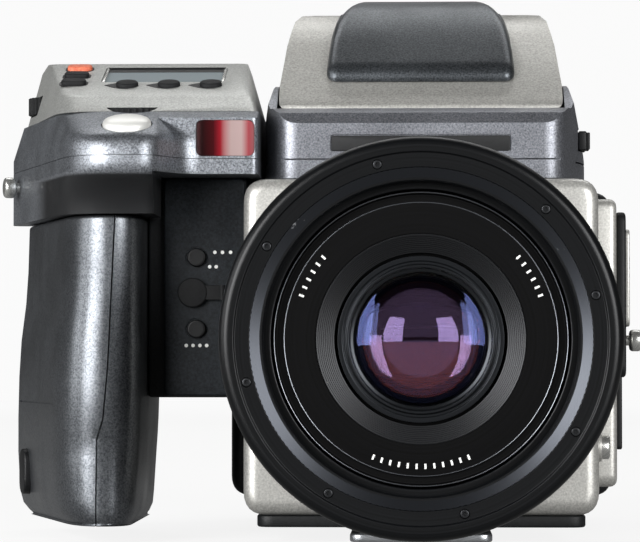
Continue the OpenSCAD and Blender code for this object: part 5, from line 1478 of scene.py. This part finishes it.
piece(combine(housing, housing_cuts), "finder_housing", slate_lacquer, ["finder_base"])
finder_plate = prism(finder_plate_view(0.3, 0.6), "Y", FINDER_FRONT + 0.2, FINDER_FRONT + 0.6, edge=0.1)
piece(finder_plate, "finder_plate", black_abs)
print("Finder housing with", len(housing_cuts), "cuts")

# %% [markdown]
# The hood's faces slope in to the top, so it is what its side view and its front view have in
# common. Its lower rim is rolled in like the edge of a tin. Two ears at the rear hold the pin of the
# flash cover. A skin could give the same form, but here two views say it with fewer points.

# %% Hood
pin_low, pin_high = box_mm("flash_pin")
HINGE_Y, HINGE_Z = (pin_low.y + pin_high.y) / 2, (pin_low.z + pin_high.z) / 2
HINGE_AT = (HINGE_Y, HINGE_Z)
HINGE_R = 1.5
HOOD_TOP = HINGE_Z - 1.9
HOOD_H = HOOD_TOP - HOOD_FOOT
HOOD_LEAN = 6.7
HOOD_EDGE = [(0.24, -0.04), (0.24, 0), (0.1, 0.02), (0.02, 0.05), (0, 0.1), (0, 0.22), (0.06, 0.36),
             (0.18, 0.62), (0.4, 0.88), (0.61, 0.94), (0.94, 0.99), (1.2, 1.04)]
ROLLED_RIM = [(0, 0), (0.05, 0.6), (0.3, 1.2), (0.9, 1.85), (2.0, 2.72)]
hood_low_pt = Vector((HOOD_FRONT + 1, HOOD_FOOT + 2))
hood_high_pt = Vector((HOOD_FRONT + 24, HOOD_TOP - 6.5))
hood_brow = Vector((HOOD_FRONT + 34, HOOD_TOP - 1.5))
hood_crown = Vector((HOOD_FRONT + 46, HOOD_TOP))

rim = [(HOOD_FRONT + y, HOOD_FOOT + z) for y, z in ROLLED_RIM]
side_view = prism(rim + [tuple(hood_high_pt), tuple(hood_brow), tuple(hood_crown),
                         (HOOD_FRONT + 66, HOOD_TOP - 0.5), (FINDER_BACK - 8, FINDER_TOP + 0.8),
                         (FINDER_BACK - 8, FINDER_TOP + 0.05), (BLOCK_FRONT - 0.3, FINDER_TOP + 0.05),
                         (BLOCK_FRONT - 0.3, HOOD_FOOT)], "X", -HOOD_SIDE - OVER, HOOD_SIDE + OVER)
half_view = [(HOOD_SIDE - inset * HOOD_LEAN, HOOD_FOOT + rise * HOOD_H) for inset, rise in HOOD_EDGE]
hood_view = prism(half_view + [(-x, z) for x, z in half_view[::-1]], "Y", HOOD_FRONT - OVER, FINDER_BACK)
hood = soften(combine(side_view, [hood_view], "INTERSECT"), 1.3, 4)
ears = []
for s in (-1, 1):
    ends = to_side(s, 8.3, 10.7)
    ears.append(brick(*ends, HINGE_Y - HINGE_R, HINGE_Y + HINGE_R, HOOD_TOP - 1.5, HINGE_Z))
    ears.append(rod("X", HINGE_AT, *ends, HINGE_R, edge=0.2, count=32))
piece(gather([hood] + ears), "finder_cap", hood_shaded_silver, ["finder_hood"])
print("Hood top:", round(HOOD_TOP, 1), "mm")

# %% [markdown]
# The flash cover lies over the hood's front like a visor, and its foot is a rounded lip. Cut out of a
# block it would keep hard ridges where the cuts meet. So it is a skin over stations that follow the
# hood's slope: each station is a cross section with round shoulders, and its width comes from the
# leaning sides. Two lines, one for the inner and one for the outer face, place the stations.

# %% Stations of the flash cover
COVER_SIDE = box_mm("flash_cover")[1].x
COVER_LEAN, COVER_T, GAP = 7.9, 3.0, 0.3
COVER_EDGE = [(0, 0), (0, 0.4), (0.04, 0.54), (0.1, 0.69), (0.23, 0.87), (0.4, 0.99), (0.61, 1.06),
              (1, 1.12)]
COVER_SHOULDER, SHOULDER_STEPS = 2.2, 8


def cover_half(z):
    """Half width of the cover at a height, along its leaning sides."""
    rise = (z - HOOD_FOOT) / HOOD_H
    for (inset, low), (next_inset, high) in zip(COVER_EDGE, COVER_EDGE[1:]):
        if low <= rise <= high:
            return COVER_SIDE - COVER_LEAN * (inset + (next_inset - inset) * (rise - low) / (high - low))
    return COVER_SIDE - COVER_LEAN


def cover_station(inner, outer, drawn_in=0.0):
    """Cross section of the cover from its inner to its outer face, with round shoulders."""
    wide, narrow = cover_half(inner.y) - drawn_in, cover_half(outer.y) - drawn_in
    thick = (outer - inner).length
    shoulder = min(1.0, COVER_SHOULDER / thick)
    ring = [(-wide, 0.0), (wide, 0.0)]
    for k in range(SHOULDER_STEPS + 1):
        turn = math.pi / 2 * k / SHOULDER_STEPS
        run_in = shoulder * thick * (1 - math.cos(turn)) * 1.2
        ring.append((narrow - run_in, 1 - shoulder * (1 - math.sin(turn))))
    ring += [(-x, share) for x, share in ring[:1:-1]]
    points = [inner.lerp(outer, share) for x, share in ring]
    return [(x, point.x, point.y) for (x, share), point in zip(ring, points)]


def smooth_line(points, steps):
    """Points on a smooth curve through the given ones."""
    made = []
    for i, (here, there) in enumerate(zip(points, points[1:])):
        before, after = points[max(i - 1, 0)], points[min(i + 2, len(points) - 1)]
        for k in range(steps):
            t = k / steps
            bend = 2 * before - 5 * here + 4 * there - after + t * (3 * (here - there) + after - before)
            made.append(here + 0.5 * t * (there - before + t * bend))
    return made + [points[-1]]


print("Flash cover:", round(2 * COVER_SIDE, 1), "mm wide")

# %% [markdown]
# The lip's stations rise along a quarter turn, and the others follow the two lines up to the hinge.
# There a knuckle between the ears turns about the pin.

# %% Flash cover
LIP_AT, LIP_L, LIP_ROUND, LIP_STEPS = 0.265, 4.6, 2.6, 8
LINE_STEPS = 5
KNUCKLE_HALF, PIN_BORE_R = 8, 0.98
rake = hood_high_pt - hood_low_pt
along = rake.normalized()
out = Vector((-rake.y, rake.x)).normalized()
foot_pt = hood_low_pt + LIP_AT * rake
top_end = Vector((HINGE_Y - 3, HOOD_TOP))

stations = []
for k in range(LIP_STEPS):
    turn = math.pi / 2 * (k + 0.4) / LIP_STEPS
    base = foot_pt + along * LIP_L * (1 - math.cos(turn)) + GAP * out
    drawn_in = LIP_ROUND * (1 - math.sin(turn)) ** 1.4
    stations.append((base, base + (COVER_T - GAP) * math.sin(turn) * out, drawn_in))
inner_line = [foot_pt + along * LIP_L + GAP * out, hood_high_pt + 1.2 * GAP * out,
              hood_brow + Vector((-0.4, GAP)), hood_crown + Vector((0, GAP)), top_end + Vector((0, GAP))]
outer_points = [foot_pt + along * LIP_L + COVER_T * out, hood_high_pt + Vector((-2.4, COVER_T - 1.6)),
                hood_brow + Vector((-1.2, COVER_T - 0.2)), hood_crown + Vector((-2, COVER_T)),
                top_end + Vector((0, COVER_T - 0.3))]
outer_line = smooth_line(outer_points, LINE_STEPS)
for k, outer_pt in enumerate(outer_line):
    i, rest = divmod(k, LINE_STEPS)
    inner_pt = inner_line[i].lerp(inner_line[min(i + 1, len(inner_line) - 1)], rest / LINE_STEPS)
    stations.append((inner_pt, outer_pt))
cover = skin([cover_station(*station) for station in stations])

barrel = rod("X", HINGE_AT, -KNUCKLE_HALF, KNUCKLE_HALF, HINGE_R, count=32)
arm = brick(-KNUCKLE_HALF, KNUCKLE_HALF, HINGE_Y - 3.5, HINGE_Y, HOOD_TOP + 0.5, HINGE_Z + 0.6)
pin_bore = rod("X", HINGE_AT, -KNUCKLE_HALF - OVER, KNUCKLE_HALF + OVER, PIN_BORE_R, count=32)
knuckle = combine(combine(barrel, [arm], "UNION"), [pin_bore])
piece(gather([cover, knuckle]), "flash_visor", graphite_lacquer, ["flash_cover"], "flash_cover",
      smooth_to=50)
print("Flash cover:", len(stations), "stations")

# %% [markdown]
# The catch at the right side lets the flash spring up. It is a small block with four ribs for the
# thumb. The rubber eyecup at the rear is a rounded block with a hollow, and grooves round it let it
# give like a bellows. Each groove is a band less its core.

# %% Flash catch and eyecup
CATCH_RIBS, CATCH_PITCH = 4, 1.9
slide = brick(catch_low.x, catch_high.x - 0.8, catch_low.y, catch_high.y, catch_low.z, catch_high.z, 0.4)
catch_ribs = []
for i in range(CATCH_RIBS):
    y = catch_low.y + CATCH_PITCH * i
    catch_ribs.append(brick(catch_high.x - 0.9, catch_high.x, y + 0.6, y + 1.7, catch_low.z + 0.3,
                            catch_high.z - 0.3, 0.2))
piece(gather([slide] + catch_ribs), "catch_slide", black_abs, ["flash_catch"], "flash_catch")

cup_low, cup_high = box_mm("eyecup")
CUP_GROOVES, CUP_FIRST, CUP_PITCH, CUP_GROOVE_W, CUP_GROOVE_D = 4, 3.2, 2.6, 0.9, 0.6
cup = slab(cup_low, cup_high, "Y", 10, edge=1.8, segments=5, steps=10)
cup_cuts = [prism(oblong(cup_low.x + 6, cup_high.x - 6, cup_low.z + 4, cup_high.z - 4, 7, 10), "Y",
                  cup_low.y - OVER, cup_high.y + OVER)]
for i in range(CUP_GROOVES):
    y = cup_low.y + CUP_FIRST + CUP_PITCH * i
    band = prism(view_of(cup_low, cup_high, "Y", 12, -2, 10), "Y", y, y + CUP_GROOVE_W)
    core = prism(view_of(cup_low, cup_high, "Y", 9.4, CUP_GROOVE_D, 10), "Y", y - OVER, y + 2)
    cup_cuts.append(combine(band, [core]))
piece(combine(cup, cup_cuts), "eye_bellows", black_rubber, ["eyecup"])
print("Catch:", CATCH_RIBS, "ribs, eyecup:", CUP_GROOVES, "grooves")

# %% [markdown]
# ## The digital back
# The back is a boxy moulding that clips on behind the mirror box. Its rear has the display, a round
# rocker and two keys; a door at the right side covers the card. The keys' bores go through the wall,
# deep enough for the keys to be pressed.

# %% Moulding and display of the digital back
back_low, back_high = box_mm("back_housing")
display_low, display_high = box_mm("back_display")
door_low, door_high = box_mm("card_door")
DOOR_T, DOOR_IN = 1.8, 1.7
DOOR_HINGE = (back_high.x - DOOR_T / 2, door_high.y - DOOR_T / 2)
PIN_R = 0.5
KEY_ROOM = 2.0
JOINT_Y, JOINT_W = back_low.y + 14, 0.4
back_keys = {node: round_view(node, "Y") for node in ("back_rocker", "back_button_left", "back_button_right")}

back_cuts = [prism(view_of(display_low, display_high, "Y", 1.5, -0.2), "Y", display_low.y,
                   display_high.y + OVER),
             brick(back_high.x - DOOR_T - ROOM, back_high.x + OVER, door_low.y - ROOM, door_high.y + ROOM,
                   door_low.z + DOOR_IN - ROOM, door_high.z - DOOR_IN + ROOM),
             rod("Z", DOOR_HINGE, door_low.z - ROOM, door_high.z + ROOM, PIN_R + 0.1, count=16)]
for s in (-1, 1):
    back_cuts.append(brick(*to_side(s, back_high.x - JOINT_W, back_high.x + 2), JOINT_Y, JOINT_Y + JOINT_W,
                           back_low.z - OVER, back_high.z + OVER))
for node, (at, r) in back_keys.items():
    low, high = box_mm(node)
    back_cuts.append(rod("Y", at, low.y - KEY_ROOM, high.y + OVER, r + KEY_FIT))
moulding = slab(back_low, back_high, "Y", 5, edge=2.2, segments=5, steps=8)
piece(combine(moulding, back_cuts), "back_moulding", black_nylon, ["back_housing"])
display_pane = prism(view_of(display_low, display_high, "Y", 1.4), "Y", display_low.y + 0.05,
                     display_high.y - 0.15, edge=0.2)
piece(display_pane, "display_pane", display_glass, ["back_display"])
print("Digital back with", len(back_cuts), "cuts")

# %% [markdown]
# The keys have a dish for the finger tip. The card door is a thin leaf with a round spine that turns
# about a pin, and four small ribs to pull it open by.

# %% Keys and card door
for node, (at, r) in back_keys.items():
    low, high = box_mm(node)
    key = rod("Y", at, low.y, high.y, r, edge=0.45)
    dish = rod("Y", at, high.y - 0.15, high.y + OVER, r * 0.55, count=32)
    piece(combine(key, [dish]), node + "_key", charcoal_lacquer, [node], node)

DOOR_RIBS, DOOR_PITCH, DOOR_RIB_L = 4, 1.6, 12
DOOR_Z = (door_low.z + DOOR_IN, door_high.z - DOOR_IN)
door = [brick(back_high.x - DOOR_T, back_high.x, door_low.y, DOOR_HINGE[1], *DOOR_Z, 0.4),
        rod("Z", DOOR_HINGE, *DOOR_Z, DOOR_T / 2, edge=0.2, count=32),
        rod("Z", DOOR_HINGE, door_low.z, door_high.z, PIN_R, count=16)]
for i in range(DOOR_RIBS):
    y = door_low.y + DOOR_PITCH * i
    door.append(brick(back_high.x - 0.1, back_high.x + 0.25, y + 2, y + 2.8, AXIS_Z - DOOR_RIB_L / 2,
                      AXIS_Z + DOOR_RIB_L / 2, 0.1))
piece(gather(door), "card_cover", charcoal_lacquer, ["card_door"], "card_door")
print("Keys:", len(back_keys), "and a card door")

# %% [markdown]
# ## Inner pieces
# What works inside keeps its CAD shape and only gets a finish: the mirror box, the mirror and its
# flaps, the focusing screen, the prism, the sensor, the mount ring, screws and the aperture.

# %% Finishes of the inner pieces
INNER = {
    "mirror_box": black_abs, "focusing_screen": clear_glass, "finder_optics": clear_glass,
    "sensor_unit": sensor_glass, "lens_mount_ring": bright_steel, "foot_screws": bright_steel,
    "flash_pin": bright_steel, "reflex_mirror": mirror_glass, "rear_flap_upper": black_abs,
    "rear_flap_lower": black_abs, "lens_cell": matt_black,
}
for i in range(1, 6):
    INNER["aperture_blade_%d" % i] = dark_steel
for node, finish in INNER.items():
    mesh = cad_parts[node].data
    mesh.materials.clear()
    mesh.materials.append(finish)
print("Inner pieces:", len(INNER))
